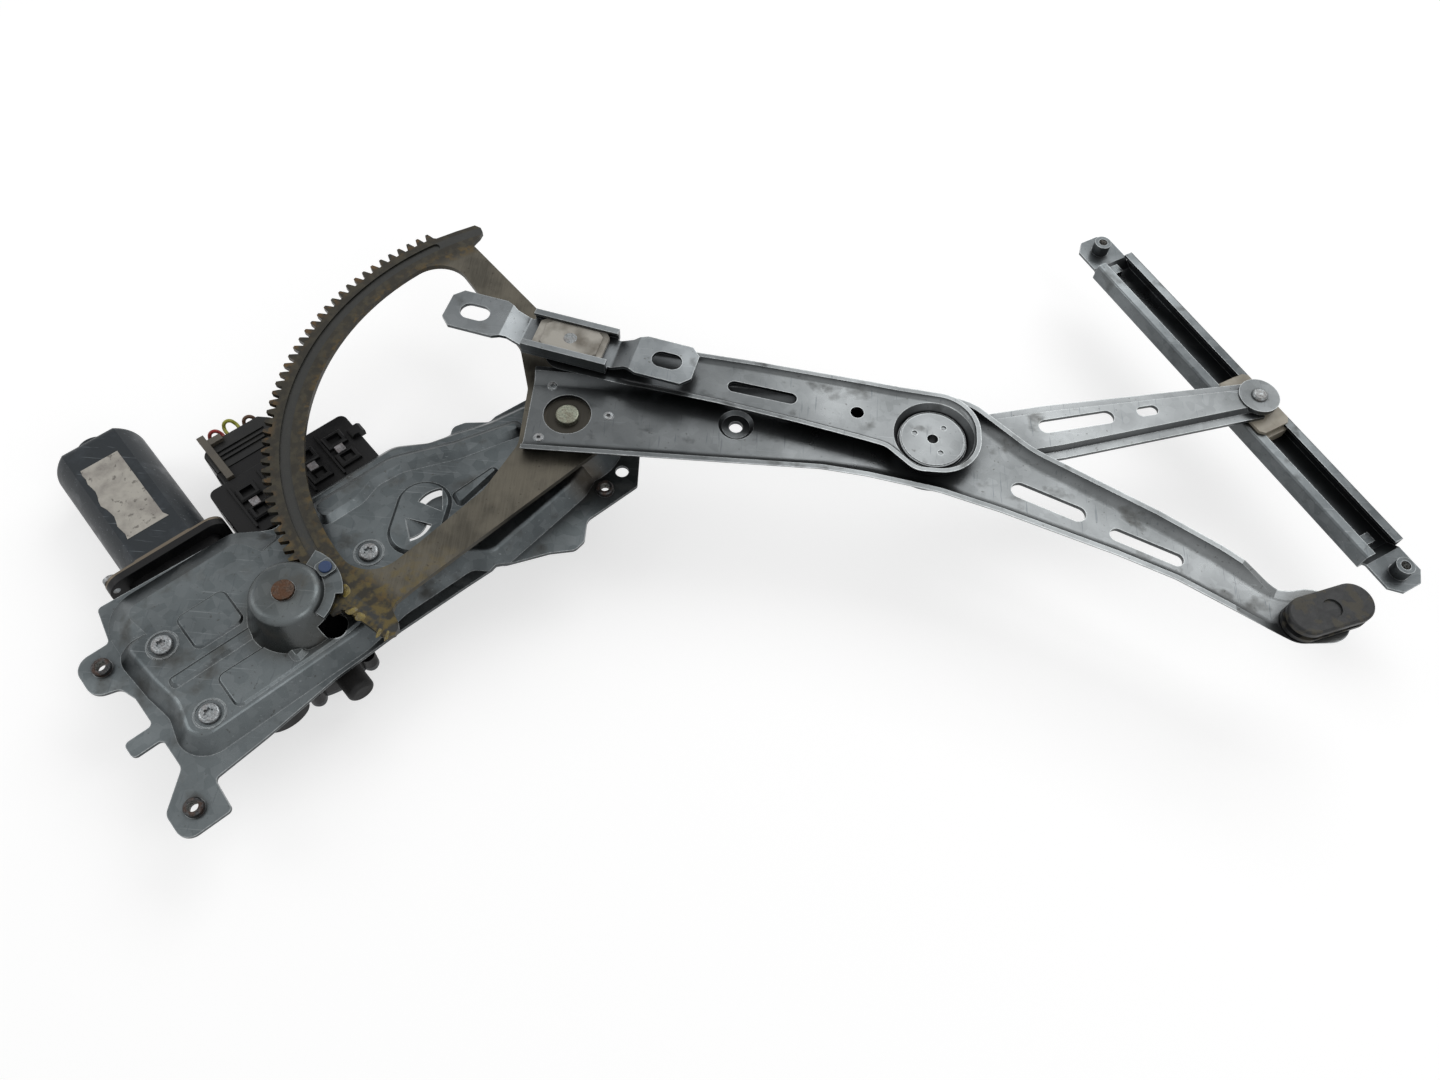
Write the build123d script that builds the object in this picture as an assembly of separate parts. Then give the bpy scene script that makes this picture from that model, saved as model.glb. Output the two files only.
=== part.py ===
from build123d import *
import os
from math import acos, atan2, cos, degrees, hypot, pi, radians, sin, tan

# Power window regulator of the cross-arm kind.
# A pressed base plate carries a geared motor. Its pinion drives a toothed sector that is
# clinched to the lift arm. A cross arm in two halves turns on the lift arm's centre hub.
# Working frame: the sector's pivot is at X = Y = 0 and the sector's mid-plane is Z = 0.
# The exported frame has its origin at the seat of the upper tab's threaded nut instead.

# Gear train
MODULE = 2.0
SECTOR_TEETH_IN_CIRCLE = 157
SECTOR_TEETH_CUT = 46
PINION_TEETH = 11
PRESSURE_ANGLE = 20.0
PROFILE_SHIFT = 0.35
BACKLASH = 0.30
ROOT_CLEARANCE = 0.5
MESH_ANGLE = 225.4
FIRST_TOOTH_ANGLE = 129.45
WORM_MODULE = 0.8
WORM_WHEEL_TEETH = 60
WORM_PITCH_RADIUS = 7.8
WORM_BACKLASH = 0.36
WORM_TURNS = 6
WORM_TOOTH_TOP = 0.72
WORM_TOOTH_FOOT = 1.0

# Sheet thicknesses and levels along Z
SECTOR_THICKNESS = 3.0
ARM_SHEET = 2.5
CROSS_SHEET = 2.2
PLATE_SHEET = 2.0
BRACKET_SHEET = 2.0
RAIL_SHEET = 1.6
PIVOT_WASHER_THICKNESS = 1.0
PLATEAU_DEPTH = 10.5
PAD_RECESS = 1.2
TAB_DEPTH = 10.0
ARM_FLANGE_HEIGHT = 7.0
CROSS_OVER_ARM_GAP = 0.5
CROSS_FLANGE_HEIGHT = 4.5
HAT_DROP = 0.8
HAT_HEIGHT = 4.4
BRACKET_HEIGHT = 14.0
RAIL_UNDER_ARM = 2.35

# Clearances
RUNNING_GAP = 0.35
TOUCH_GAP = 0.05
PIN_FIT = 0.05
BRIM_GAP = 1.0
SECTOR_SLOT_GAP = 1.2
SECTOR_SLOT_UNDER = 2.0

# Linkage, as places in the working frame
CENTRE_HUB = (194.0, 0.5)
RAIL_PIN = (379.6, 53.8)
BRACKET_PIN = (-2.6, 38.6)
SHOE_PIN = (385.5, -85.1)

# Lift arm. The outlines of turned-up parts are those of the web, with a corner's own rounding third
ARM_FLANGE_DRAFT = 25.0
ARM_BEND_RADIUS = 7.0
ARM_ROUNDING = 40.0
ARM_LEFT_END = -20.5
LIFT_ARM = [(-60.0, -24.6, 10), (74.0, -22.3), (136.0, -21.2), (160.0, -23.5), (198.0, -29.8),
            (229.0, -38.9),
            (286.0, -58.5), (315.0, -70.0), (346.0, -87.0), (370.0, -100.5, 13), (398.0, -97.5, 13),
            (399.0, -72.5, 13), (380.0, -70.0, 14), (366.0, -74.5, 20), (338.0, -54.0), (308.0, -36.0),
            (246.0, -3.5, 60), (215.0, 23.5, 24), (184.0, 29.5, 24), (150.0, 23.0), (-60.0, 23.8, 10)]
ARM_SLOTS = [((239.9, -24.7), (268.6, -36.3), 4.7), ((288.2, -47.1), (316.9, -58.8), 3.8)]
PIVOT_WINDOW_RADIUS = 12.7
DIMPLE_PLACE = (89.8, 2.1)
DIMPLE_RADIUS = 9.5
DIMPLE_HOLE_RADIUS = 3.7
DIMPLE_DEPTH = 2.0
CLINCH_PLACES = [(-10.5, 17.6), (21.9, 0.9), (-12.8, -16.6)]
CLINCH_RADIUS = 2.6
CLINCH_RISE = 0.5
CLINCH_PIT_RADIUS = 1.1
CLINCH_PIT_DEPTH = 1.2
SHOE_SWEEP = 24.0
SHOE_FADE = 46.0

# Cross arm
UPPER_HALF = [(-17.0, 26.5, 10), (31.0, 17.6), (79.0, 10.5), (123.5, 1.8), (150.0, -4.0),
              (169.0, -8.5, 14),
              (184.0, -22.0, 10), (216.5, -22.0, 21), (216.5, 23.0, 21), (176.0, 26.8), (155.0, 29.5),
              (97.0, 36.2), (40.0, 41.5), (-12.0, 52.5, 10)]
UPPER_ROUNDING = 40.0
UPPER_SLOT = ((87.3, 21.9), (117.5, 17.0), 3.6)
UPPER_HOLE = (153.4, 11.4, 3.6)
CROSS_BEND_RADIUS = 3.0
CUP_RADIUS = 23.5
CUP_FLOOR_RADIUS = 20.5
HUB_DISC_RADIUS = 18.0
HUB_DISC_THICKNESS = 1.8
HUB_RING_RADIUS = 17.4
HUB_NECK_RADIUS = 13.0
HUB_TAIL_RADIUS = 15.5
HUB_TAIL_THICKNESS = 2.0
HUB_HOLE_RADIUS = 2.9
HUB_DOT_RADIUS = 1.5
HUB_DOTS = [(-9.5, 3.0), (6.0, 7.5), (4.0, -8.5)]
BRACKET_SWEEP = 33.0
BRACKET_FADE = 52.0
LOWER_HALF_EYE_RADIUS = 24.0
LOWER_HALF_WIDE = 17.5
LOWER_HALF_WIDE_END = 72.0
LOWER_HALF_NARROW = 11.8
LOWER_HALF_RIM = 4.5
LOWER_SLOT = (67.4, 102.4, 4.3)
LOWER_OVAL = (123.7, 129.7, 3.2)
LOWER_SLOT_OFFSET = 1.8
HAT_DRAFT = 25.0
PIN_RADIUS = 5.0
PIN_NECK_RADIUS = 3.6
END_DISC_RADIUS = 11.4

# Slotted bracket, in its own frame: along X from the pin
BRACKET_ANGLE = -11.9
BRACKET_CHANNEL_LENGTH = 47.6
BRACKET_WIDTH = 25.5
BRACKET_WALL_HEIGHT = 7.5
BRACKET_STEP = 5.5
BRACKET_FLOOR_END = 26.0
BRACKET_WAIST = 9.5
BRACKET_SLOT_SPACING = 108.5
BRACKET_SLOT_LENGTH = 16.5
BRACKET_SLOT_RADIUS = 5.25
BRACKET_TAB_START = 36.0
BRACKET_TAB_END = 70.0
BRACKET_TAB_CHAMFER = 5.0
BRACKET_LIP = 3.6
BRACKET_LIP_SHEET = 1.4
BRACKET_TRAVEL = 4.0
BRACKET_SLIDER_LENGTH = 39.0
BRACKET_NECK_RADIUS = 3.0
BRACKET_HEAD_RADIUS = 3.6
BRACKET_HEAD_HEIGHT = 1.2

# Guide rail, in its own frame: along X from the pin
RAIL_ANGLE = -57.6
RAIL_WIDTH = 27.0
RAIL_DEPTH = 11.0
RAIL_LIP = 6.0
RAIL_BEND = 1.5
RAIL_START = -124.0
RAIL_END = 104.0
RAIL_HOLE_START = -137.0
RAIL_HOLE_SPACING = 254.0
RAIL_TAB_REACH = 10.5
RAIL_TAB_WIDTH = 24.0
RAIL_TAB_STEP = 4.0
RAIL_TAB_CHAMFER = 6.0
RAIL_COLLAR_HEIGHT = 7.4
RAIL_COLLAR_WALL = 2.4
RAIL_STOP_PLACES = [-121.0, 94.0]
RAIL_STOP_LENGTH = 6.0
RAIL_STOP_WIDTH = 8.0
RAIL_STOP_HEIGHT = 3.0
RAIL_SLIDER_LENGTH = 42.0
RAIL_CAP_OVERHANG = 3.5
RAIL_PIN_FOOT = 4.0
RAIL_HEAD_RADIUS = 4.5
RAIL_HEAD_HEIGHT = 1.8

# Shoe at the lift arm's end
SHOE_LENGTH = 46.0
SHOE_WIDTH = 21.0
SHOE_HEIGHT = 10.0
SHOE_ANGLE = 22.0
SHOE_GROOVE = 2.0
SHOE_GROOVE_LEVELS = (3.0, 6.2)
SHOE_DIMPLE_RADIUS = 4.9
SHOE_OVER_ARM = 0.3

# Sector gear
SECTOR_LOWER_EDGE = [(-89.0, -123.6), (-78.7, -129.5), (-69.7, -135.0), (-66.6, -135.9), (-63.4, -134.0),
                     (-62.4, -130.7), (-63.3, -127.5), (-67.2, -121.5), (-66.5, -117.0), (-59.1, -108.0),
                     (17.0, -21.9), (33.0, -4.0)]
SECTOR_UPPER_EDGE = [(39.0, 4.0), (36.0, 9.5), (-28.5, 73.8), (-71.5, 117.0), (-72.2, 119.0),
                     (-69.4, 124.5),
                     (-68.4, 128.5), (-70.1, 131.6), (-73.9, 133.2), (-84.0, 127.0), (-94.0, 120.2)]
SECTOR_WINDOW = [(-23.3, -20.2), (-23.9, 16.4), (-32.7, 44.6), (-95.0, 121.0), (-170.0, 121.0),
                 (-170.0, -122.0), (-94.0, -122.3), (-62.1, -83.3), (-36.3, -49.9)]
SECTOR_WINDOW_RADIUS = 136.7
SECTOR_WINDOW_CORNER = 18.0
SECTOR_HUB_CORNER = 12.0
SECTOR_GROOVE_RADII = (143.7, 149.2)
SECTOR_GROOVE_ANGLES = (129.6, 228.0)
SECTOR_GROOVE_DEPTH = 1.0
GROOVE_RIB_MARGIN = 1.0
PIVOT_STUD_RADIUS = 5.0
PIVOT_HEAD_RADIUS = 6.25
PIVOT_HEAD_HEIGHT = 3.0
PIVOT_TAIL_HEIGHT = 2.5

# Base plate, in its own frame: X runs from the pinion to the pivot
TAB_NUT_P = -86.0
TAB_NUT_Q = (38.0, -52.0)
EAR_NUT = (163.0, -36.5)
EAR_HOLE = (177.5, -33.0)
EAR_HOLE_RADIUS = 3.6
NUT_RADIUS = 4.6
NUT_PROUD = 3.2
THREAD_RADIUS = 2.6
MOTOR_PADS = [(-58.0, 25.1), (-58.0, -20.6), (44.8, 5.6)]
PAD_RING_RADII = (7.7, 6.9)
PAD_RING_HEIGHT = 0.4
SCREW_SHANK_RADIUS = 2.5
SCREW_LENGTH = 14.0
SCREW_HEAD_RADIUS = 5.2
SCREW_HEAD_HEIGHT = 2.2
STAR_RADIUS = 2.4
PLATEAU = [(-71.5, -28.5), (16.0, -28.0, 30), (40.0, -23.5, 30), (84.0, -24.0, 14), (93.0, -33.5, 7),
           (150.0, -26.0, 12), (168.0, -18.0, 20), (196.0, -15.0, 20), (196.0, 24.0, 20),
           (139.0, 32.5, 20), (122.0, 38.0, 20), (106.0, 42.5, 14), (90.0, 52.0, 12), (30.0, 52.0, 12),
           (16.0, 42.0, 12), (-20.0, 37.5, 30), (-71.5, 35.5, 4), (-69.5, 11.0, 20), (-66.5, -6.0, 20)]
PLATEAU_CORNER = 8.0
PLATEAU_DRAFT = 40.0
PLATEAU_ROLL = 3.0
STRIP = [(-61.0, 30.0), (0.0, 30.0), (5.0, 38.0, 4), (-4.0, 51.5, 6), (-61.0, 51.5, 4)]
STRIP_DRAFT = 60.0
STRIP_CREASE = 36.5
STRIP_SLOPE = 6.0
ROUND_PAD_RISE = 2.0
RAISED_PARTS = [([(-46.0, 12.5), (-22.0, 12.5), (-22.0, 33.0), (-46.0, 33.0)], 1.2, 45.0),
                ([(-46.0, -26.0), (14.0, -25.2), (40.0, -20.5, 10), (54.0, -21.0), (52.0, -9.0),
                  (-46.0, -7.0)], 1.2, 45.0),
                ([(83.0, 29.0, 12), (99.5, 10.5, 12), (68.5, -16.0, 12), (52.5, 2.5, 12)], ROUND_PAD_RISE, 45.0),
                ([(38.0, 36.5), (58.0, 36.5, 14), (70.0, 41.0, 16), (86.0, 39.5, 20), (114.0, 27.5, 30),
                  (147.0, 19.0, 1.2), (148.0, 22.5, 1.2), (116.0, 31.5, 30), (84.0, 45.0, 20),
                  (38.0, 45.0)], 3.0, 52.0)]
RAISED_CORNER = 3.0
BEAD_DRAFT = 45.0
RAISED_ROLL = 0.6
BEADS = [([(-63.0, 2.5), (-20.0, 2.5), (-20.0, 5.5), (-63.0, 5.5)], 2.0),
         ([(-13.0, -12.0), (-12.5, -22.5), (-8.5, -21.5), (-8.0, -11.0)], 3.5),
         ([(97.0, 0.5), (122.0, 5.0), (122.0, 6.6), (98.0, 6.0)], 2.2)]
BEAD_CORNER = 0.7
SHEET_MARGIN = 0.5
DOME_TOP = 9.0
DOME_TOP_RADIUS = 16.5
DOME_BASE_RADIUS = 23.5
DOME_BEND_RADIUS = 4.5
BRIM_RADIUS = 26.5
BRIM_INNER_RADIUS = 15.0
BRIM_ANGLES = (-38.0, 28.0)
BRIM_TAIL_RADIUS = 23.0
BRIM_TAIL_ANGLES = (-72.0, 0.0)
BOSS_SIZE = 8.5
BOSS_PLACE = (22.0, 0.5)
BOSS_RISE = 1.2
BUTTON_RADIUS = 2.6
NOTCH = (9.5, -19.0)
NOTCH_RADIUS = 6.8
LANCES = [((86.6, 1.1), 86.0), ((69.8, 10.2), -85.0)]
LANCE_LENGTH = 14.5
LANCE_MOUTH = 3.0
LANCE_HALF_ANGLE = 29.0
LANCE_DROP_ANGLE = 13.0
LANCE_SHEET = 1.4
LAND_RADIUS = 15.0
LAND_BASE_RADIUS = 29.0
PLATE_OUTLINE = [(-97.5, -63.5, 7), (-73.5, -63.5), (-72.5, -45.5), (-44.6, -43.1), (-4.0, -38.0),
                 (34.0, -36.5), (74.0, -37.0), (91.0, -37.5), (100.0, -41.4), (117.0, -48.5),
                 (128.0, -55.5, 5), (135.0, -54.5, 4), (144.0, -45.3, 6), (178.0, -45.6), (198.0, -24.0),
                 (204.0, 12.0), (190.0, 36.0), (164.7, 39.1), (146.3, 40.6, 4), (141.5, 39.5, 4),
                 (131.1, 47.7, 5), (124.1, 49.6, 5), (116.0, 42.5, 5), (104.5, 44.5, 4), (91.0, 58.2, 6),
                 (36.0, 57.5), (16.0, 54.5, 6), (4.0, 61.0, 6), (-2.0, 66.0, 5), (-73.5, 69.5),
                 (-77.5, 48.6),
                 (-96.5, 48.7, 8), (-96.5, 27.0, 8), (-84.5, 23.0, 5), (-81.5, 14.0), (-81.5, -3.5),
                 (-96.2, -3.5), (-96.2, -12.8), (-81.5, -12.8), (-81.5, -31.0, 5), (-97.5, -46.3, 6)]
OUTLINE_ROUNDING = 2.6

# Geared motor, in the plate's frame
MOTOR_AXIS_DEPTH = 38.0
HOUSING_WALL = 3.0
HOUSING_RIBS = 8
HOUSING_RIB_HEIGHT = 3.0
CHAMBER_RADIUS = 30.0
CHAMBER_TOP_DEPTH = 27.0
CHAMBER_WALL = 4.0
COVER_THICKNESS = 3.0
COLLAR_RADIUS = 11.0
TUNNEL_RADIUS = 11.5
TUNNEL_BORE = 9.0
TUNNEL_END = -32.0
NECK_START = 40.0
NECK_WIDTH = 50.0
NECK_HEIGHT = 26.0
FLANGE_PLACE = 74.0
FLANGE_THICKNESS = 4.0
FLANGE_P = (-65.5, -0.5)
FLANGE_HEIGHT = 40.0
FLANGE_ROUNDING = 9.0
BOSS_RADIUS = 6.0
BREATHER_RADIUS = 7.0
BREATHER_P = 2.5
BREATHER_DEPTH = 38.0
BREATHER_LENGTH = 15.0
CAN_WIDTH = 48.0
CAN_HEIGHT = 38.0
CAN_LENGTH = 88.0
CAN_WALL = 2.0
CAN_ROUNDING = 5.0
CAN_SCREW_RADIUS = 1.8
CAN_SCREW_INSET = 4.0
CAN_SCREW_OFFSET = 14.0
COVER_EAR_RADIUS = 4.2
COVER_SCREW_OUT = 0.5
COVER_SCREW_ANGLES = (25, 85, 240, 300, 345)
NUB_RADIUS = 9.0
NUB_LENGTH = 9.0
ARMATURE_RADIUS = 16.0
ARMATURE_LENGTH = 40.0
ARMATURE_SLOTS = 10
CORE_SETBACK = 22.0
MAGNET_INNER_RADIUS = 17.0
MAGNET_SPREAD = 26.0
MAGNET_HALF_HEIGHT = 13.0
BRUSH_OUTER = 21.0
COMMUTATOR_RADIUS = 7.5
COMMUTATOR_LENGTH = 14.0
COMMUTATOR_LEAD_IN = 11.0
SENSOR_RADIUS = 8.0
SENSOR_START = 52.0
SHAFT_RADIUS = 4.0
OUTPUT_SHAFT_RADIUS = 6.0
JOURNAL_RADIUS = 5.3
JOURNAL_PROUD = 1.4
WHEEL_THICKNESS = 12.0
WHEEL_POCKET_RADIUS = 17.0
DRIVE_HUB_RADIUS = 10.0
DRIVE_LUGS = 4
PINION_TOP = 5.0
PINION_BOTTOM = -6.0

# Electronics beside the motor's neck, in the plate's frame
MODULE_P = (1.0, 84.0)
MODULE_Q = (60.0, 100.0)
MODULE_TOP_DEPTH = 27.0
MODULE_HEIGHT = 24.0
MODULE_WALL = 2.0
MODULE_LID = 2.0
SNAP_PITCH = 17.6
SNAP_START = 17.8
SNAP_COUNT = 4
COVER_ROWS = (72.0, 86.0)
COVER_RISE = 2.6
HOOK_Q = 84.0
BOARD_THICKNESS = 1.6
BOARD_PARTS = [(20.0, 74.0, 16.0, 12.0, 11.0), (42.0, 74.0, 16.0, 12.0, 11.0),
               (64.0, 76.0, 12.0, 12.0, 2.2),
               (70.0, 90.0, 8.0, 6.0, 5.0)]
PLUG_P = (11.0, 53.0)
HEADER_LENGTH = 9.0
HEADER_DEPTHS = (2.0, 20.5)
PLUG_LENGTH = 20.0
PLUG_PINS = 8
PLUG_RIBS = 3
LATCH_REACH = 6.0
LEAD_RADIUS = 1.05
LEAD_BEND = 3.0
LEAD_SHIFT = 7.0
LEAD_RISE = 7.0
LEADS = {"lead_black": (17.0, 12.0), "lead_red": (20.0, 16.5), "lead_green": (29.5, 18.0),
         "lead_brown": (39.5, 13.5)}

# Values worked out from the sizes above
SECTOR_RADIUS = MODULE * SECTOR_TEETH_IN_CIRCLE / 2
PINION_RADIUS = MODULE * PINION_TEETH / 2
GEAR_CENTRES = SECTOR_RADIUS + PINION_RADIUS
SECTOR_PITCH_ANGLE = 360.0 / SECTOR_TEETH_IN_CIRCLE
SECTOR_TIP = SECTOR_RADIUS + MODULE * (1 - PROFILE_SHIFT)
PINION_TIP = PINION_RADIUS + MODULE * (1 + PROFILE_SHIFT)
SECTOR_ROOT = GEAR_CENTRES - PINION_TIP - ROOT_CLEARANCE
PINION_ROOT = GEAR_CENTRES - SECTOR_TIP - ROOT_CLEARANCE
PAST_TOOTH = (MESH_ANGLE - FIRST_TOOTH_ANGLE) / SECTOR_PITCH_ANGLE % 1
PINION_PHASE = MESH_ANGLE + 180 + (PAST_TOOTH - 0.5) * 360 / PINION_TEETH
WHEEL_RADIUS = WORM_MODULE * WORM_WHEEL_TEETH / 2
SECTOR_TOP = SECTOR_THICKNESS / 2
SECTOR_BOTTOM = -SECTOR_TOP
ARM_BOTTOM = SECTOR_TOP
ARM_TOP = ARM_BOTTOM + ARM_SHEET
ARM_LIP = ARM_BOTTOM + ARM_FLANGE_HEIGHT
UPPER_HALF_BOTTOM = ARM_LIP + CROSS_OVER_ARM_GAP
UPPER_HALF_TOP = UPPER_HALF_BOTTOM + CROSS_SHEET
UPPER_HALF_LIP = UPPER_HALF_BOTTOM + CROSS_FLANGE_HEIGHT
CUP_BOTTOM = ARM_TOP + TOUCH_GAP
HUB_DISC_BOTTOM = CUP_BOTTOM + CROSS_SHEET
HUB_DISC_TOP = HUB_DISC_BOTTOM + HUB_DISC_THICKNESS
LOWER_HALF_TOP = ARM_BOTTOM - RUNNING_GAP
LOWER_WEB_BOTTOM = LOWER_HALF_TOP - CROSS_SHEET - HAT_DROP
LOWER_HALF_RIM_TOP = LOWER_HALF_TOP - HAT_HEIGHT
LOWER_HALF_BOTTOM = LOWER_HALF_RIM_TOP - CROSS_SHEET
LOWER_HALF_REACH = hypot(RAIL_PIN[0] - CENTRE_HUB[0], RAIL_PIN[1] - CENTRE_HUB[1])
LOWER_HALF_ANGLE = degrees(atan2(RAIL_PIN[1] - CENTRE_HUB[1], RAIL_PIN[0] - CENTRE_HUB[0]))
RAIL_TOP = LOWER_HALF_BOTTOM - RAIL_UNDER_ARM
RAIL_BOTTOM = RAIL_TOP - RAIL_DEPTH
RAIL_CAP_TOP = LOWER_HALF_BOTTOM - RUNNING_GAP
RAIL_PIN_END = RAIL_BOTTOM + RAIL_PIN_FOOT
RAIL_HOLES = (RAIL_HOLE_START, RAIL_HOLE_START + RAIL_HOLE_SPACING)
BRACKET_FLOOR_TOP = BRACKET_HEIGHT + BRACKET_SHEET
BRACKET_SLIDER_TOP = BRACKET_HEIGHT + BRACKET_WALL_HEIGHT - BRACKET_LIP_SHEET - RUNNING_GAP
SHOE_BOTTOM = ARM_TOP + SHOE_OVER_ARM
SHOE_TOP = SHOE_BOTTOM + SHOE_HEIGHT
LAND_TOP = SECTOR_BOTTOM - PIVOT_WASHER_THICKNESS
PLATE_TOP = SECTOR_BOTTOM - PLATEAU_DEPTH
PAD_TOP = PLATE_TOP - PAD_RECESS
PAD_BOTTOM = PAD_TOP - PLATE_SHEET
TAB_TOP = PLATE_TOP - TAB_DEPTH
TAB_BOTTOM = TAB_TOP - PLATE_SHEET
BRIM_BOTTOM = SECTOR_TOP + BRIM_GAP
BOSS_TOP = BRIM_BOTTOM + PLATE_SHEET + BOSS_RISE
SECTOR_SLOT_BOTTOM = SECTOR_BOTTOM - SECTOR_SLOT_UNDER
NUT_PLACES = [(TAB_NUT_P, TAB_NUT_Q[0]), (TAB_NUT_P, TAB_NUT_Q[1]), EAR_NUT]
MOTOR_Z = -MOTOR_AXIS_DEPTH
MOTOR_P = -(WHEEL_RADIUS + WORM_PITCH_RADIUS)
CHAMBER_TOP = -CHAMBER_TOP_DEPTH
CHAMBER_FOOT = MOTOR_Z - TUNNEL_RADIUS
WHEEL_CAVITY_RADIUS = CHAMBER_RADIUS - CHAMBER_WALL
WHEEL_LOW, WHEEL_HIGH = MOTOR_Z - WHEEL_THICKNESS / 2, MOTOR_Z + WHEEL_THICKNESS / 2
CAN_FRONT = FLANGE_PLACE + FLANGE_THICKNESS
CAN_BACK = CAN_FRONT + CAN_LENGTH
CORE_START = FLANGE_PLACE + CORE_SETBACK
COMMUTATOR_START = FLANGE_PLACE - COMMUTATOR_LEAD_IN
CAN_SCREWS = [(FLANGE_P[0] + CAN_SCREW_INSET, MOTOR_Z + CAN_SCREW_OFFSET),
              (FLANGE_P[1] - CAN_SCREW_INSET, MOTOR_Z - CAN_SCREW_OFFSET)]
COVER_SCREW_CIRCLE = CHAMBER_RADIUS + COVER_SCREW_OUT
COVER_SCREWS = [(COVER_SCREW_CIRCLE * cos(radians(a)), COVER_SCREW_CIRCLE * sin(radians(a)))
                for a in COVER_SCREW_ANGLES]
NECK_EDGE = MOTOR_P + NECK_WIDTH / 2
MODULE_TOP = -MODULE_TOP_DEPTH
MODULE_FOOT = MODULE_TOP - MODULE_HEIGHT
HEADER_LOW, HEADER_HIGH = MODULE_TOP - HEADER_DEPTHS[1], MODULE_TOP - HEADER_DEPTHS[0]
PIN_LEVEL = (HEADER_LOW + HEADER_HIGH) / 2
PLUG_BACK = MODULE_Q[1] + HEADER_LENGTH + PLUG_LENGTH
PINION_PLACE = (GEAR_CENTRES * cos(radians(MESH_ANGLE)), GEAR_CENTRES * sin(radians(MESH_ANGLE)))
PLATE_FRAME = Pos(PINION_PLACE[0], PINION_PLACE[1], 0) * Rot(0, 0, MESH_ANGLE - 180)
BRACKET_FRAME = Pos(BRACKET_PIN[0], BRACKET_PIN[1], 0) * Rot(0, 0, BRACKET_ANGLE)
RAIL_FRAME = Pos(RAIL_PIN[0], RAIL_PIN[1], 0) * Rot(0, 0, RAIL_ANGLE)
LOWER_FRAME = Pos(CENTRE_HUB[0], CENTRE_HUB[1], 0) * Rot(0, 0, LOWER_HALF_ANGLE)
SHOE_FRAME = Pos(SHOE_PIN[0], SHOE_PIN[1], 0) * Rot(0, 0, SHOE_ANGLE)
ORIGIN_PLACE = PLATE_FRAME * Pos(TAB_NUT_P, TAB_NUT_Q[0], TAB_BOTTOM)
TO_ROW_FRAME = Pos(-ORIGIN_PLACE.position)
UP = (0, 0, 1)
DEEP, HIGH = -90.0, 60.0


def slab(face, low, high):
    """A flat outline given the height from low to high."""
    return Pos(0, 0, low) * extrude(face, high - low, dir=UP)


def rod(radius, low, high, place=(0.0, 0.0)):
    """An upright cylinder from low to high."""
    return Pos(place[0], place[1], (low + high) / 2) * Cylinder(radius, high - low)


def ring(outer, inner, low, high, place=(0.0, 0.0)):
    """An upright tube from low to high."""
    return rod(outer, low, high, place) - rod(inner, low - 1, high + 1, place)


def block(p_low, p_high, q_low, q_high, low, high):
    """A box between two values on each axis."""
    size = (p_high - p_low, q_high - q_low, high - low)
    return Pos((p_low + p_high) / 2, (q_low + q_high) / 2, (low + high) / 2) * Box(*size)


def lying_rod(radius, q_low, q_high, p=MOTOR_P, z=MOTOR_Z):
    """A cylinder along Q, as the motor's shaft lies."""
    return Pos(p, (q_low + q_high) / 2, z) * Rot(90, 0, 0) * Cylinder(radius, q_high - q_low)


def long_hole(start, end, radius):
    """The flat outline of a slot between two centres."""
    length = hypot(end[0] - start[0], end[1] - start[1])
    turn = degrees(atan2(end[1] - start[1], end[0] - start[0]))
    middle = ((start[0] + end[0]) / 2, (start[1] + end[1]) / 2)
    return Pos(middle[0], middle[1], 0) * Rot(0, 0, turn) * SlotOverall(length + 2 * radius, 2 * radius)


def involute(angle):
    return tan(angle) - angle


def tooth_half_angle(teeth, shift, radius):
    """Half the angle that one tooth takes at a radius, for a tooth of the gear train."""
    pitch_radius = MODULE * teeth / 2
    base_radius = pitch_radius * cos(radians(PRESSURE_ANGLE))
    thickness = MODULE * (pi / 2 + 2 * shift * tan(radians(PRESSURE_ANGLE))) - BACKLASH / 2
    at_pitch = thickness / (2 * pitch_radius)
    pressure = acos(min(1.0, base_radius / radius))
    return at_pitch + involute(radians(PRESSURE_ANGLE)) - involute(pressure)


def tooth_points(teeth, shift, root, tip, centre_angle, steps=4):
    """Points of one tooth, from its right root over the tip to its left root."""
    radii = [root + (tip - root) * step / steps for step in range(steps + 1)]
    half = [tooth_half_angle(teeth, shift, radius) for radius in radii]
    right = [(r, centre_angle - degrees(a)) for r, a in zip(radii, half)]
    left = [(r, centre_angle + degrees(a)) for r, a in zip(reversed(radii), reversed(half))]
    return [(r * cos(radians(a)), r * sin(radians(a))) for r, a in right + left]


def rounded(points, radius):
    """A closed flat outline. A point may carry a rounding of its own after its place."""
    radii = [point[2] if len(point) > 2 else radius for point in points]
    return make_face(FilletPolyline(*[point[:2] for point in points], radius=radii, close=True))


def hull_of(outline_face, low, high, draft, bend):
    """A solid that widens upwards from a flat outline, with its lower edge rolled."""
    body = Pos(0, 0, low) * extrude(outline_face, high - low, dir=UP, taper=-draft)
    lowest = body.edges().filter_by(lambda edge: edge.bounding_box().max.Z < low + 0.01)
    return fillet(lowest, bend)


def tray(face, low, high, sheet, draft, bend):
    """A sheet part whose sides are turned up all round a flat web."""
    shift = sheet * tan(radians(90 - draft) / 2)
    outer = hull_of(face, low, high, draft, bend + sheet)
    inner = hull_of(offset(face, -shift), low + sheet, high + 1, draft, bend)
    return outer - inner


def wheel_arc(radius, start, end, steps):
    """Places along an arc about the pivot, in degrees."""
    angles = [start + (end - start) * step / steps for step in range(steps + 1)]
    return [(radius * cos(radians(a)), radius * sin(radians(a))) for a in angles]


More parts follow.
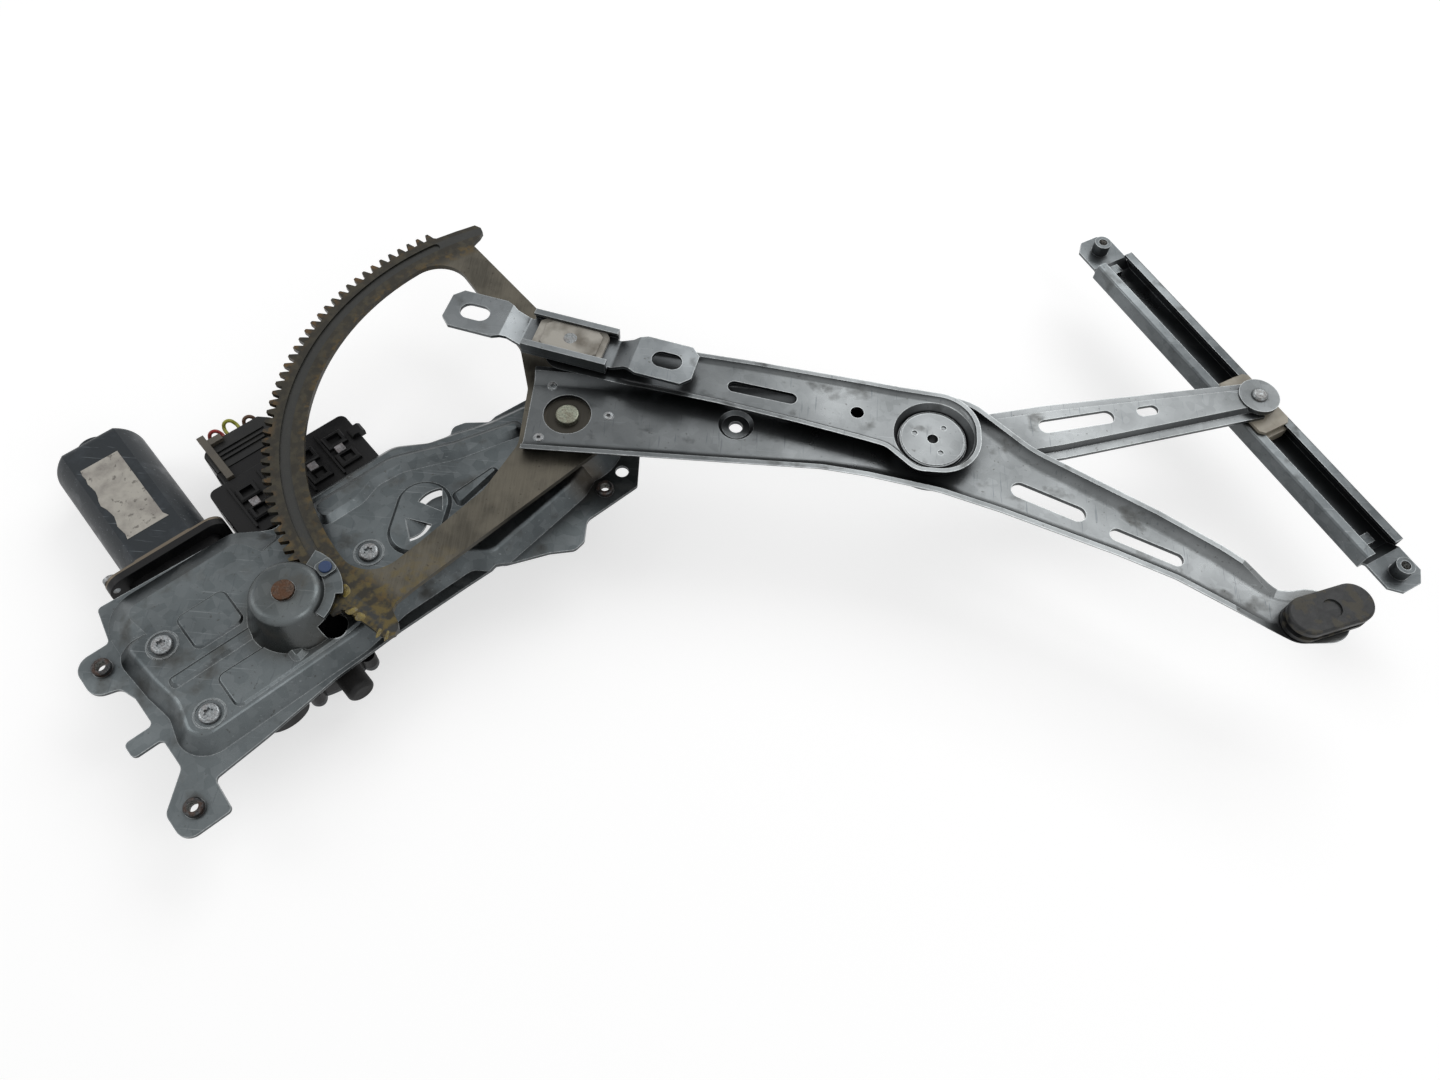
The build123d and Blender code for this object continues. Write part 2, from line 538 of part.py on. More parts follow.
def make_sector():
    tooth_centres = [FIRST_TOOTH_ANGLE + SECTOR_PITCH_ANGLE * k for k in range(SECTOR_TEETH_CUT)]
    rim = []
    for centre in tooth_centres:
        rim += tooth_points(SECTOR_TEETH_IN_CIRCLE, -PROFILE_SHIFT, SECTOR_ROOT, SECTOR_TIP, centre)
    teeth = make_face(Polyline(*rim, *SECTOR_LOWER_EDGE, *SECTOR_UPPER_EDGE, close=True))
    window = make_face(Polyline(*SECTOR_WINDOW, close=True)) & Circle(SECTOR_WINDOW_RADIUS)
    on_arc = window.vertices().filter_by(lambda v: v.center().length > SECTOR_WINDOW_RADIUS - 0.1)
    window = fillet(on_arc, SECTOR_WINDOW_CORNER)
    others = window.vertices().filter_by(lambda v: v.center().length < 60)
    window = fillet(others, SECTOR_HUB_CORNER)
    body = slab(teeth - window - Circle(PIVOT_STUD_RADIUS + PIN_FIT), SECTOR_BOTTOM, SECTOR_TOP)
    groove = groove_face(0)
    rib = groove_face(GROOVE_RIB_MARGIN)
    body += slab(rib, SECTOR_BOTTOM - SECTOR_GROOVE_DEPTH, SECTOR_TOP - SECTOR_GROOVE_DEPTH)
    body -= slab(groove, SECTOR_TOP - SECTOR_GROOVE_DEPTH, SECTOR_TOP + 1)
    for place in CLINCH_PLACES:
        body -= rod(CLINCH_RADIUS, SECTOR_BOTTOM - 1, SECTOR_TOP + 1, place)
    return body


def groove_face(margin):
    """The pressed groove along the teeth, as a bent slot about the pivot."""
    inner, outer = SECTOR_GROOVE_RADII[0] - margin, SECTOR_GROOVE_RADII[1] + margin
    start, end = SECTOR_GROOVE_ANGLES
    corners = [(0, 0)] + wheel_arc(2 * outer, start, end, 3)
    band = (Circle(outer) - Circle(inner)) & make_face(Polyline(*corners, close=True))
    for angle in (start, end):
        middle = (inner + outer) / 2
        place = Pos(middle * cos(radians(angle)), middle * sin(radians(angle)))
        band += place * Circle((outer - inner) / 2)
    return band


def make_lift_arm():
    arm = tray(rounded(LIFT_ARM, ARM_ROUNDING), ARM_BOTTOM, ARM_LIP, ARM_SHEET, ARM_FLANGE_DRAFT,
               ARM_BEND_RADIUS)
    arm -= block(-100, ARM_LEFT_END, -60, 60, -20, 20)
    fade = ARM_LIP - ARM_TOP + 0.2
    arm -= Pos(SHOE_PIN[0], SHOE_PIN[1], ARM_TOP + 0.1 + fade / 2) * Cone(SHOE_SWEEP, SHOE_FADE, fade)
    for start, end, radius in ARM_SLOTS:
        arm -= slab(long_hole(start, end, radius), ARM_BOTTOM - 1, ARM_LIP)
    arm -= rod(PIVOT_WINDOW_RADIUS, ARM_BOTTOM - 1, ARM_LIP)
    arm -= rod(HUB_NECK_RADIUS + RUNNING_GAP, ARM_BOTTOM - 1, ARM_LIP, CENTRE_HUB)
    arm -= rod(PIN_RADIUS + PIN_FIT, ARM_BOTTOM - 1, ARM_LIP, SHOE_PIN)
    place = Pos(DIMPLE_PLACE[0], DIMPLE_PLACE[1], 0)
    arm -= place * Pos(0, 0, ARM_TOP - DIMPLE_DEPTH / 2) * Cone(
        DIMPLE_RADIUS - DIMPLE_DEPTH, DIMPLE_RADIUS, DIMPLE_DEPTH)
    arm += place * Pos(0, 0, ARM_BOTTOM - DIMPLE_DEPTH / 2) * Cone(
        DIMPLE_RADIUS - DIMPLE_DEPTH - 1, DIMPLE_RADIUS - 1, DIMPLE_DEPTH)
    arm -= rod(DIMPLE_HOLE_RADIUS, ARM_BOTTOM - DIMPLE_DEPTH - 1, ARM_LIP, DIMPLE_PLACE)
    for clinch in CLINCH_PLACES:
        arm -= rod(CLINCH_RADIUS, ARM_BOTTOM - 1, ARM_LIP, clinch)
    return arm


def make_cross_arm_left():
    arm = tray(rounded(UPPER_HALF, UPPER_ROUNDING), UPPER_HALF_BOTTOM, UPPER_HALF_LIP, CROSS_SHEET,
               ARM_FLANGE_DRAFT, CROSS_BEND_RADIUS)
    hub = Pos(CENTRE_HUB[0], CENTRE_HUB[1], 0)
    depth = UPPER_HALF_BOTTOM - CUP_BOTTOM
    arm -= rod(CUP_RADIUS - CROSS_SHEET, UPPER_HALF_BOTTOM - 1, UPPER_HALF_TOP + 1, CENTRE_HUB)
    outer = Pos(0, 0, CUP_BOTTOM + (depth + CROSS_SHEET) / 2) * Cone(
        CUP_FLOOR_RADIUS, CUP_RADIUS, depth + CROSS_SHEET)
    inner = Pos(0, 0, CUP_BOTTOM + CROSS_SHEET + depth / 2) * Cone(
        CUP_FLOOR_RADIUS - CROSS_SHEET, CUP_RADIUS - CROSS_SHEET, depth)
    arm += hub * (outer - inner)
    arm -= rod(HUB_NECK_RADIUS, CUP_BOTTOM - 1, UPPER_HALF_TOP, CENTRE_HUB)
    fade = UPPER_HALF_LIP - UPPER_HALF_TOP + 0.2
    arm -= Pos(BRACKET_PIN[0], BRACKET_PIN[1], UPPER_HALF_TOP + 0.1 + fade / 2) * Cone(
        BRACKET_SWEEP, BRACKET_FADE, fade)
    start, end, radius = UPPER_SLOT
    arm -= slab(long_hole(start, end, radius), UPPER_HALF_BOTTOM - 1, UPPER_HALF_LIP)
    arm -= rod(UPPER_HOLE[2], UPPER_HALF_BOTTOM - 1, UPPER_HALF_LIP, UPPER_HOLE)
    arm -= rod(PIN_NECK_RADIUS, UPPER_HALF_BOTTOM - 1, UPPER_HALF_LIP, BRACKET_PIN)
    return arm


def lower_half_outline(margin):
    """The lower half's outline, along X from the hub, drawn in by a margin."""
    narrow, wide = LOWER_HALF_NARROW - margin, LOWER_HALF_WIDE - margin
    body = rounded([(0, -wide), (LOWER_HALF_WIDE_END, -wide), (LOWER_HALF_REACH, -narrow),
                    (LOWER_HALF_REACH, narrow), (LOWER_HALF_WIDE_END, wide), (0, wide)], 0)
    return body + Circle(LOWER_HALF_EYE_RADIUS - margin)


def make_cross_arm_right():
    hat_top = LOWER_HALF_TOP - HAT_DROP
    depth = hat_top - LOWER_HALF_RIM_TOP
    web_margin = LOWER_HALF_RIM + depth * tan(radians(HAT_DRAFT))
    hollow_margin = LOWER_HALF_RIM + CROSS_SHEET * tan(radians(90 - HAT_DRAFT) / 2)
    outer = slab(lower_half_outline(0), LOWER_HALF_BOTTOM, LOWER_HALF_RIM_TOP)
    crown = Pos(0, 0, LOWER_HALF_RIM_TOP) * extrude(
        lower_half_outline(LOWER_HALF_RIM), depth, dir=UP, taper=HAT_DRAFT)
    hollow = Pos(0, 0, LOWER_HALF_BOTTOM) * extrude(
        lower_half_outline(hollow_margin), depth, dir=UP, taper=HAT_DRAFT)
    disc = rod(END_DISC_RADIUS, LOWER_WEB_BOTTOM, LOWER_HALF_TOP, (LOWER_HALF_REACH, 0))
    arm = outer + crown - hollow + disc
    arm += rod(LOWER_HALF_EYE_RADIUS - web_margin, LOWER_WEB_BOTTOM, LOWER_HALF_TOP)
    for first, last, reach in (LOWER_SLOT, LOWER_OVAL):
        arm -= slab(long_hole((first, LOWER_SLOT_OFFSET), (last, LOWER_SLOT_OFFSET), reach), -20, 20)
    arm -= rod(HUB_NECK_RADIUS, -20, 20)
    arm -= rod(PIN_RADIUS + PIN_FIT, LOWER_HALF_BOTTOM - 1, LOWER_WEB_BOTTOM, (LOWER_HALF_REACH, 0))
    arm -= rod(PIN_NECK_RADIUS, -20, 20, (LOWER_HALF_REACH, 0))
    return LOWER_FRAME * arm


def make_centre_hub():
    hub = rod(HUB_DISC_RADIUS, HUB_DISC_BOTTOM, HUB_DISC_TOP)
    hub = fillet(hub.edges().group_by(Axis.Z)[-1], 0.6)
    hub -= ring(HUB_RING_RADIUS, HUB_RING_RADIUS - 0.8, HUB_DISC_TOP - 0.4, 20)
    hub += rod(HUB_NECK_RADIUS, LOWER_WEB_BOTTOM, HUB_DISC_BOTTOM)
    hub += rod(HUB_TAIL_RADIUS, LOWER_WEB_BOTTOM - HUB_TAIL_THICKNESS, LOWER_WEB_BOTTOM)
    hub -= rod(HUB_HOLE_RADIUS, -20, 20)
    for dot in HUB_DOTS:
        hub -= rod(HUB_DOT_RADIUS, HUB_DISC_TOP - 0.6, 20, dot)
    return Pos(CENTRE_HUB[0], CENTRE_HUB[1], 0) * hub


def strip(profile, thickness, half_width):
    """A bent strip of even height, from the top line of its side view."""
    lower = [(x, z - thickness) for x, z in reversed(profile)]
    side = Plane.XZ * make_face(Polyline(*profile, *lower, close=True))
    return extrude(side, half_width, both=True)


def make_bracket():
    floor_top, tab_top = BRACKET_FLOOR_TOP, BRACKET_FLOOR_TOP + BRACKET_STEP
    line = [(-BRACKET_TAB_END, tab_top), (-BRACKET_TAB_START, tab_top), (-BRACKET_FLOOR_END, floor_top),
            (BRACKET_FLOOR_END, floor_top), (BRACKET_TAB_START, tab_top), (BRACKET_TAB_END, tab_top)]
    half = BRACKET_WIDTH / 2
    bent = strip(line, BRACKET_SHEET, half)
    creases = bent.edges().filter_by(Axis.Y).filter_by(
        lambda edge: abs(edge.center().X) < BRACKET_TAB_START + 1)
    bent = fillet(creases, 2.0)
    end, cut, waist = BRACKET_TAB_END, BRACKET_TAB_CHAMFER, BRACKET_WAIST
    right = [(BRACKET_FLOOR_END + 1.5, -waist), (BRACKET_TAB_START - 3, -waist),
             (BRACKET_TAB_START + 4, -half),
             (end - cut, -half), (end, cut - half), (end, half - cut), (end - cut, half),
             (BRACKET_TAB_START + 4, half), (BRACKET_TAB_START - 3, waist),
             (BRACKET_FLOOR_END + 1.5, waist)]
    channel = BRACKET_CHANNEL_LENGTH / 2
    right = [(channel, -half), (channel, -waist)] + right + [(channel, waist), (channel, half)]
    left = [(-x, -y) for x, y in right]
    bent &= slab(make_face(Polyline(*right, *left, close=True)), 0, 40)
    wall_top = BRACKET_HEIGHT + BRACKET_WALL_HEIGHT
    shell = block(-channel, channel, -half, half, BRACKET_HEIGHT, wall_top)
    shell = fillet(shell.edges().filter_by(Axis.X).group_by(Axis.Z)[0], 2.4)
    inner = block(-99, 99, BRACKET_SHEET - half, half - BRACKET_SHEET, floor_top,
                  wall_top - BRACKET_LIP_SHEET)
    mouth = block(-99, 99, BRACKET_LIP - half, half - BRACKET_LIP, floor_top, 60)
    bracket = bent + (shell - inner - mouth)
    for side in (-1, 1):
        slot = Pos(side * BRACKET_SLOT_SPACING / 2, 0) * SlotOverall(
            BRACKET_SLOT_LENGTH, 2 * BRACKET_SLOT_RADIUS)
        bracket -= slab(slot, 0, 60)
    reach = PIN_RADIUS + RUNNING_GAP
    bracket -= slab(SlotOverall(2 * (reach + BRACKET_TRAVEL), 2 * reach), 0, floor_top + 1)
    return BRACKET_FRAME * bracket


def make_bracket_slider():
    half = BRACKET_WIDTH / 2 - BRACKET_SHEET - RUNNING_GAP
    low = BRACKET_FLOOR_TOP + TOUCH_GAP
    high = BRACKET_SLIDER_TOP
    length = BRACKET_SLIDER_LENGTH
    foot = block(-length / 2, length / 2, -half, half, low, high - 1.4)
    foot = chamfer(foot.edges().filter_by(Axis.Z), 2.5)
    crown = block(-length / 2 + 4, length / 2 - 3, -half + 1.2, half - 1.2, low, high)
    crown = chamfer(crown.edges().filter_by(Axis.Z), 3.0)
    slider = foot + fillet(crown.edges().group_by(Axis.Z)[-1], 0.7)
    slider -= rod(BRACKET_NECK_RADIUS + PIN_FIT, 0, 40)
    slider -= rod(BRACKET_HEAD_RADIUS + PIN_FIT, high - BRACKET_HEAD_HEIGHT, 40)
    return BRACKET_FRAME * slider


def make_bracket_pin():
    low = BRACKET_FLOOR_TOP + TOUCH_GAP
    high = BRACKET_SLIDER_TOP
    pin = rod(PIN_NECK_RADIUS, UPPER_HALF_BOTTOM, UPPER_HALF_TOP)
    pin += rod(PIN_RADIUS, UPPER_HALF_TOP, low - TOUCH_GAP)
    pin += rod(BRACKET_NECK_RADIUS, low - TOUCH_GAP, high)
    pin += rod(BRACKET_HEAD_RADIUS, high - BRACKET_HEAD_HEIGHT + PIN_FIT, high)
    return Pos(BRACKET_PIN[0], BRACKET_PIN[1], 0) * pin


def make_rail():
    half = RAIL_WIDTH / 2
    floor_top = RAIL_BOTTOM + RAIL_SHEET
    tab_top = floor_top + RAIL_TAB_STEP
    shell = block(RAIL_START, RAIL_END, -half, half, RAIL_BOTTOM, RAIL_TOP)
    shell = fillet(shell.edges().filter_by(Axis.X), RAIL_BEND)
    shell -= block(-300, 300, RAIL_SHEET - half, half - RAIL_SHEET, floor_top, RAIL_TOP - RAIL_SHEET)
    shell -= block(-300, 300, RAIL_LIP - half, half - RAIL_LIP, floor_top, 10)
    low, high = RAIL_HOLES[0] - RAIL_TAB_REACH, RAIL_HOLES[1] + RAIL_TAB_REACH
    ends = []
    for end, mouth, way in ((low, RAIL_START, 1), (high, RAIL_END, -1)):
        line = [(end, tab_top), (mouth - way * 2.0, tab_top), (mouth + way * 4.0, floor_top),
                (mouth + way * 8.0, floor_top)]
        piece = strip(line, RAIL_SHEET, RAIL_TAB_WIDTH / 2)
        tips = piece.edges().filter_by(Axis.Z).filter_by(lambda edge: abs(edge.center().X - end) < 0.1)
        ends.append(chamfer(tips, RAIL_TAB_CHAMFER))
    rail = shell + ends[0] + ends[1]
    for place in RAIL_HOLES:
        rail += rod(THREAD_RADIUS + RAIL_COLLAR_WALL, tab_top, tab_top + RAIL_COLLAR_HEIGHT, (place, 0))
        rail -= rod(THREAD_RADIUS, -40, 20, (place, 0))
    for place in RAIL_STOP_PLACES:
        stop = block(place - RAIL_STOP_LENGTH / 2, place + RAIL_STOP_LENGTH / 2, -RAIL_STOP_WIDTH / 2,
                     RAIL_STOP_WIDTH / 2,
                     floor_top, floor_top + RAIL_STOP_HEIGHT)
        rail += stop
    return RAIL_FRAME * rail


def make_rail_slider():
    length, half = RAIL_SLIDER_LENGTH / 2, RAIL_WIDTH / 2 - RAIL_SHEET - RUNNING_GAP
    floor, ceiling = RAIL_BOTTOM + RAIL_SHEET + RUNNING_GAP, RAIL_TOP - RAIL_SHEET - RUNNING_GAP
    foot = block(-length, length, -half, half, floor, ceiling)
    foot = chamfer(foot.edges().filter_by(Axis.Z), 3.0)
    mouth = RAIL_WIDTH / 2 - RAIL_LIP - RUNNING_GAP
    neck = block(-length + 4, length - 4, -mouth, mouth, ceiling - 1, RAIL_TOP + RUNNING_GAP / 2)
    cap = block(-length + 2, length - 2, -mouth - RAIL_CAP_OVERHANG, mouth + RAIL_CAP_OVERHANG,
                RAIL_TOP + RUNNING_GAP / 2, RAIL_CAP_TOP)
    cap = chamfer(cap.edges().filter_by(Axis.Z), 2.5)
    slider = foot + neck + cap
    slider -= block(-7, 7, -half - 1, half + 1, floor - 1, floor + 1.5)
    slider -= rod(PIN_RADIUS + PIN_FIT, RAIL_PIN_END - 1, 10)
    return RAIL_FRAME * slider


def make_rail_pin():
    web = LOWER_WEB_BOTTOM
    pin = rod(PIN_NECK_RADIUS, web, LOWER_HALF_TOP)
    head = rod(RAIL_HEAD_RADIUS, LOWER_HALF_TOP, LOWER_HALF_TOP + RAIL_HEAD_HEIGHT)
    head = fillet(head.edges().group_by(Axis.Z)[-1], RAIL_HEAD_HEIGHT * 0.9)
    pin += head + rod(PIN_RADIUS, RAIL_PIN_END, web)
    return Pos(RAIL_PIN[0], RAIL_PIN[1], 0) * pin


def make_arm_rivets():
    """Clinch rivets that hold the lift arm on the sector."""
    rivets = []
    for place in CLINCH_PLACES:
        rivet = rod(CLINCH_RADIUS, SECTOR_BOTTOM, ARM_TOP + CLINCH_RISE, place)
        rivet = fillet(rivet.edges().group_by(Axis.Z)[-1], CLINCH_RISE * 0.7)
        rivets.append(rivet - rod(CLINCH_PIT_RADIUS, ARM_TOP + CLINCH_RISE - CLINCH_PIT_DEPTH, ARM_LIP,
                                  place))
    return Compound(rivets)


def make_shoe():
    low, high = SHOE_BOTTOM, SHOE_TOP
    full = slab(SlotOverall(SHOE_LENGTH, SHOE_WIDTH), low, high)
    full = fillet(full.edges().group_by(Axis.Z)[-1], 1.5)
    shoe = fillet(full.edges().group_by(Axis.Z)[0], 0.8)
    groove = SlotOverall(SHOE_LENGTH, SHOE_WIDTH) - SlotOverall(
        SHOE_LENGTH - 2 * SHOE_GROOVE, SHOE_WIDTH - 2 * SHOE_GROOVE)
    shoe -= slab(groove, low + SHOE_GROOVE_LEVELS[0], low + SHOE_GROOVE_LEVELS[1])
    shoe -= rod(PIN_RADIUS + PIN_FIT, low - 1, high - 2.2)
    shoe -= rod(SHOE_DIMPLE_RADIUS, high - 1.0, high + 1)
    return SHOE_FRAME * shoe


def make_shoe_pin():
    pin = rod(PIN_RADIUS, ARM_BOTTOM, SHOE_TOP - 2.4)
    pin += rod(PIN_RADIUS + 2, ARM_BOTTOM - 1.5, ARM_BOTTOM)
    return Pos(SHOE_PIN[0], SHOE_PIN[1], 0) * pin


def form(face, top, foot, draft, roll):
    """A pressed form: flat on top, with sides that slope out down to past the foot level."""
    depth = top - foot + SHEET_MARGIN
    body = Pos(0, 0, top) * extrude(face, depth, dir=(0, 0, -1), taper=-draft)
    return fillet(body.edges().group_by(Axis.Z)[-1], roll) if roll else body


def pressed(face, top, foot, draft, roll):
    """The outer and the inner solid of a pressed form in the plate's sheet."""
    shift = PLATE_SHEET * tan(radians(90 - draft) / 2)
    inner = form(offset(face, -shift), top - PLATE_SHEET, foot - PLATE_SHEET, draft, 0)
    return form(face, top, foot, draft, roll), inner


def pressed_round(place, top_radius, base_radius, top, foot, roll):
    """The outer and the inner solid of a round drawn form."""
    run = base_radius - top_radius
    shift = PLATE_SHEET * tan(atan2(top - foot, run) / 2)
    solids = []
    for radius, high, low, bend in ((top_radius, top, foot, roll),
                                    (top_radius - shift, top - PLATE_SHEET, foot - PLATE_SHEET,
                                     roll - PLATE_SHEET)):
        depth = high - low + SHEET_MARGIN
        cone = Cone(radius + run * depth / (high - low), radius, depth)
        cone = fillet(cone.edges().group_by(Axis.Z)[-1], max(bend, 0.5))
        solids.append(Pos(place[0], place[1], high - depth / 2) * cone)
    return solids


def sloping_strip():
    """The outer and the inner solid of the strip that falls away above the motor's pads."""
    face = rounded(STRIP, RAISED_CORNER)
    shift = PLATE_SHEET * tan(radians(90 - STRIP_DRAFT) / 2)
    below = Rot(-STRIP_SLOPE, 0, 0) * Pos(0, 0, DEEP / 2) * Box(400, 400, -DEEP)
    outer = form(face, PAD_TOP, TAB_TOP, STRIP_DRAFT, 0) & (Pos(0, STRIP_CREASE, PAD_TOP) * below)
    inner = form(offset(face, -shift), PAD_TOP - PLATE_SHEET, TAB_TOP - PLATE_SHEET, STRIP_DRAFT, 0)
    return outer, inner & (Pos(0, STRIP_CREASE, PAD_TOP - PLATE_SHEET) * below)


def fan_face(radius, half_angle):
    """A flat circular sector about X, from the origin."""
    reach = 2 * radius
    corners = [(reach * cos(radians(a)), reach * sin(radians(a))) for a in (-half_angle, half_angle)]
    return make_face(Polyline((0, 0), *corners, close=True)) & Circle(radius)


def lanced(sheet, place, turn):
    """The sheet with a lance in the round pad: a tongue bent down, and open at its wide end."""
    frame = Pos(place[0], place[1], PAD_TOP + ROUND_PAD_RISE) * Rot(0, 0, turn)
    sheet -= frame * slab(fan_face(LANCE_LENGTH, LANCE_HALF_ANGLE), -2 * PLATE_SHEET, 1)
    tongue = slab(fan_face(LANCE_LENGTH - LANCE_MOUTH, LANCE_HALF_ANGLE + 3), -LANCE_SHEET, 0)
    return sheet + frame * Rot(0, LANCE_DROP_ANGLE, 0) * tongue


def make_base_plate():
    outer = block(-150, 260, -110, 120, TAB_BOTTOM - 4, TAB_TOP)
    inner = block(-160, 270, -120, 130, TAB_BOTTOM - 6, TAB_BOTTOM)
    forms = [
        pressed(rounded(PLATEAU, PLATEAU_CORNER), PAD_TOP, TAB_TOP, PLATEAU_DRAFT, PLATEAU_ROLL),
        pressed_round((0, 0), DOME_TOP_RADIUS, DOME_BASE_RADIUS, DOME_TOP, PAD_TOP, DOME_BEND_RADIUS),
        pressed_round((GEAR_CENTRES, 0), LAND_RADIUS, LAND_BASE_RADIUS, LAND_TOP, TAB_TOP, PLATEAU_ROLL),
        sloping_strip(),
    ]
    for points, height, draft in RAISED_PARTS:
        forms.append(pressed(rounded(points, RAISED_CORNER), PAD_TOP + height, PAD_TOP, draft,
                             RAISED_ROLL))
    for points, height in BEADS:
        outer += form(rounded(points, BEAD_CORNER), PAD_TOP + height, PAD_TOP, BEAD_DRAFT, RAISED_ROLL)
    for one, other in forms:
        outer += one
        inner += other
    sheet = outer - inner
    sheet &= slab(rounded(PLATE_OUTLINE, OUTLINE_ROUNDING), TAB_BOTTOM - 2, DOME_TOP + 5)
    sheet -= Pos(GEAR_CENTRES, 0, (BRIM_BOTTOM + SECTOR_SLOT_BOTTOM) / 2) * Cylinder(
        SECTOR_TIP + SECTOR_SLOT_GAP, BRIM_BOTTOM - SECTOR_SLOT_BOTTOM)
    for radius, (start, end) in ((BRIM_RADIUS, BRIM_ANGLES), (BRIM_TAIL_RADIUS, BRIM_TAIL_ANGLES)):
        fan = [(0, 0)] + wheel_arc(2 * radius, start, end, 3)
        brim = Circle(radius) - Circle(BRIM_INNER_RADIUS)
        brim &= make_face(Polyline(*fan, close=True))
        sheet += slab(brim, BRIM_BOTTOM, BRIM_BOTTOM + PLATE_SHEET)
    boss = block(BOSS_PLACE[0] - BOSS_SIZE / 2, BOSS_PLACE[0] + BOSS_SIZE / 2,
                 BOSS_PLACE[1] - BOSS_SIZE / 2,
                 BOSS_PLACE[1] + BOSS_SIZE / 2, BRIM_BOTTOM, BRIM_BOTTOM + PLATE_SHEET + BOSS_RISE)
    sheet += fillet(boss.edges().filter_by(Axis.Z), 2.0)
    sheet -= rod(BUTTON_RADIUS, BRIM_BOTTOM - 1, DOME_TOP, BOSS_PLACE)
    sheet -= rod(JOURNAL_RADIUS + RUNNING_GAP / 2, DOME_TOP - PLATE_SHEET - 1, DOME_TOP + 1)
    sheet -= rod(NOTCH_RADIUS, TAB_BOTTOM, LAND_TOP, NOTCH)
    for place, turn in LANCES:
        sheet = lanced(sheet, place, turn)
    for place in MOTOR_PADS:
        sheet += ring(*PAD_RING_RADII, PAD_TOP, PAD_TOP + PAD_RING_HEIGHT, place)
        sheet -= rod(SCREW_SHANK_RADIUS + 0.2, TAB_BOTTOM, PLATE_TOP + 1, place)
    for place in NUT_PLACES:
        sheet -= rod(NUT_RADIUS, TAB_BOTTOM - 1, TAB_TOP + 1, place)
    sheet -= rod(EAR_HOLE_RADIUS, TAB_BOTTOM - 1, TAB_TOP + 1, EAR_HOLE)
    sheet -= rod(PIVOT_STUD_RADIUS, TAB_BOTTOM - 1, 0, (GEAR_CENTRES, 0))
    return PLATE_FRAME * sheet


def make_nuts():
    """Clinch nuts pressed into the two left tabs and the right ear."""
    nuts = []
    for place in NUT_PLACES:
        nut = rod(NUT_RADIUS, TAB_BOTTOM, TAB_TOP + NUT_PROUD, place)
        nut = chamfer(nut.edges().group_by(Axis.Z)[-1], 0.7)
        nuts.append(nut - rod(THREAD_RADIUS, TAB_BOTTOM - 1, 0, place))
    return PLATE_FRAME * Compound(nuts)


def make_pivot_stud():
    head = rod(PIVOT_HEAD_RADIUS, SECTOR_TOP + TOUCH_GAP, SECTOR_TOP + TOUCH_GAP + PIVOT_HEAD_HEIGHT)
    head = fillet(head.edges().group_by(Axis.Z)[-1], 0.8)
    tail_top = LAND_TOP - PLATE_SHEET
    stud = rod(PIVOT_STUD_RADIUS, tail_top, SECTOR_TOP + TOUCH_GAP)
    return stud + head + rod(PIVOT_HEAD_RADIUS + 1.5, tail_top - PIVOT_TAIL_HEIGHT, tail_top)


def make_pivot_washer():
    return ring(PIVOT_HEAD_RADIUS + 6, PIVOT_STUD_RADIUS + PIN_FIT, LAND_TOP, SECTOR_BOTTOM - TOUCH_GAP)


def make_button():
    stem = rod(BUTTON_RADIUS, BRIM_BOTTOM, BOSS_TOP, BOSS_PLACE)
    cap = rod(BUTTON_RADIUS + 0.6, BOSS_TOP, BOSS_TOP + 1.0, BOSS_PLACE)
    return PLATE_FRAME * (stem + fillet(cap.edges().group_by(Axis.Z)[-1], 0.6))


def star(radius, low, high, place):
    """A six-lobed drive recess."""
    lobes = Circle(radius * 0.72)
    for k in range(6):
        angle = radians(60 * k)
        lobes += Pos(radius * 0.72 * cos(angle), radius * 0.72 * sin(angle)) * Circle(radius * 0.27)
    return slab(Pos(place[0], place[1]) * lobes, low, high)


def make_motor_screws():
    screws = []
    for place in MOTOR_PADS:
        head = rod(SCREW_HEAD_RADIUS, PAD_TOP, PAD_TOP + SCREW_HEAD_HEIGHT, place)
        head = fillet(head.edges().group_by(Axis.Z)[-1], SCREW_HEAD_HEIGHT * 0.7)
        screw = head + rod(SCREW_SHANK_RADIUS, PAD_BOTTOM - SCREW_LENGTH, PAD_TOP, place)
        screws.append(screw - star(STAR_RADIUS, PAD_TOP + SCREW_HEAD_HEIGHT - 1.4, 0, place))
    return PLATE_FRAME * Compound(screws)


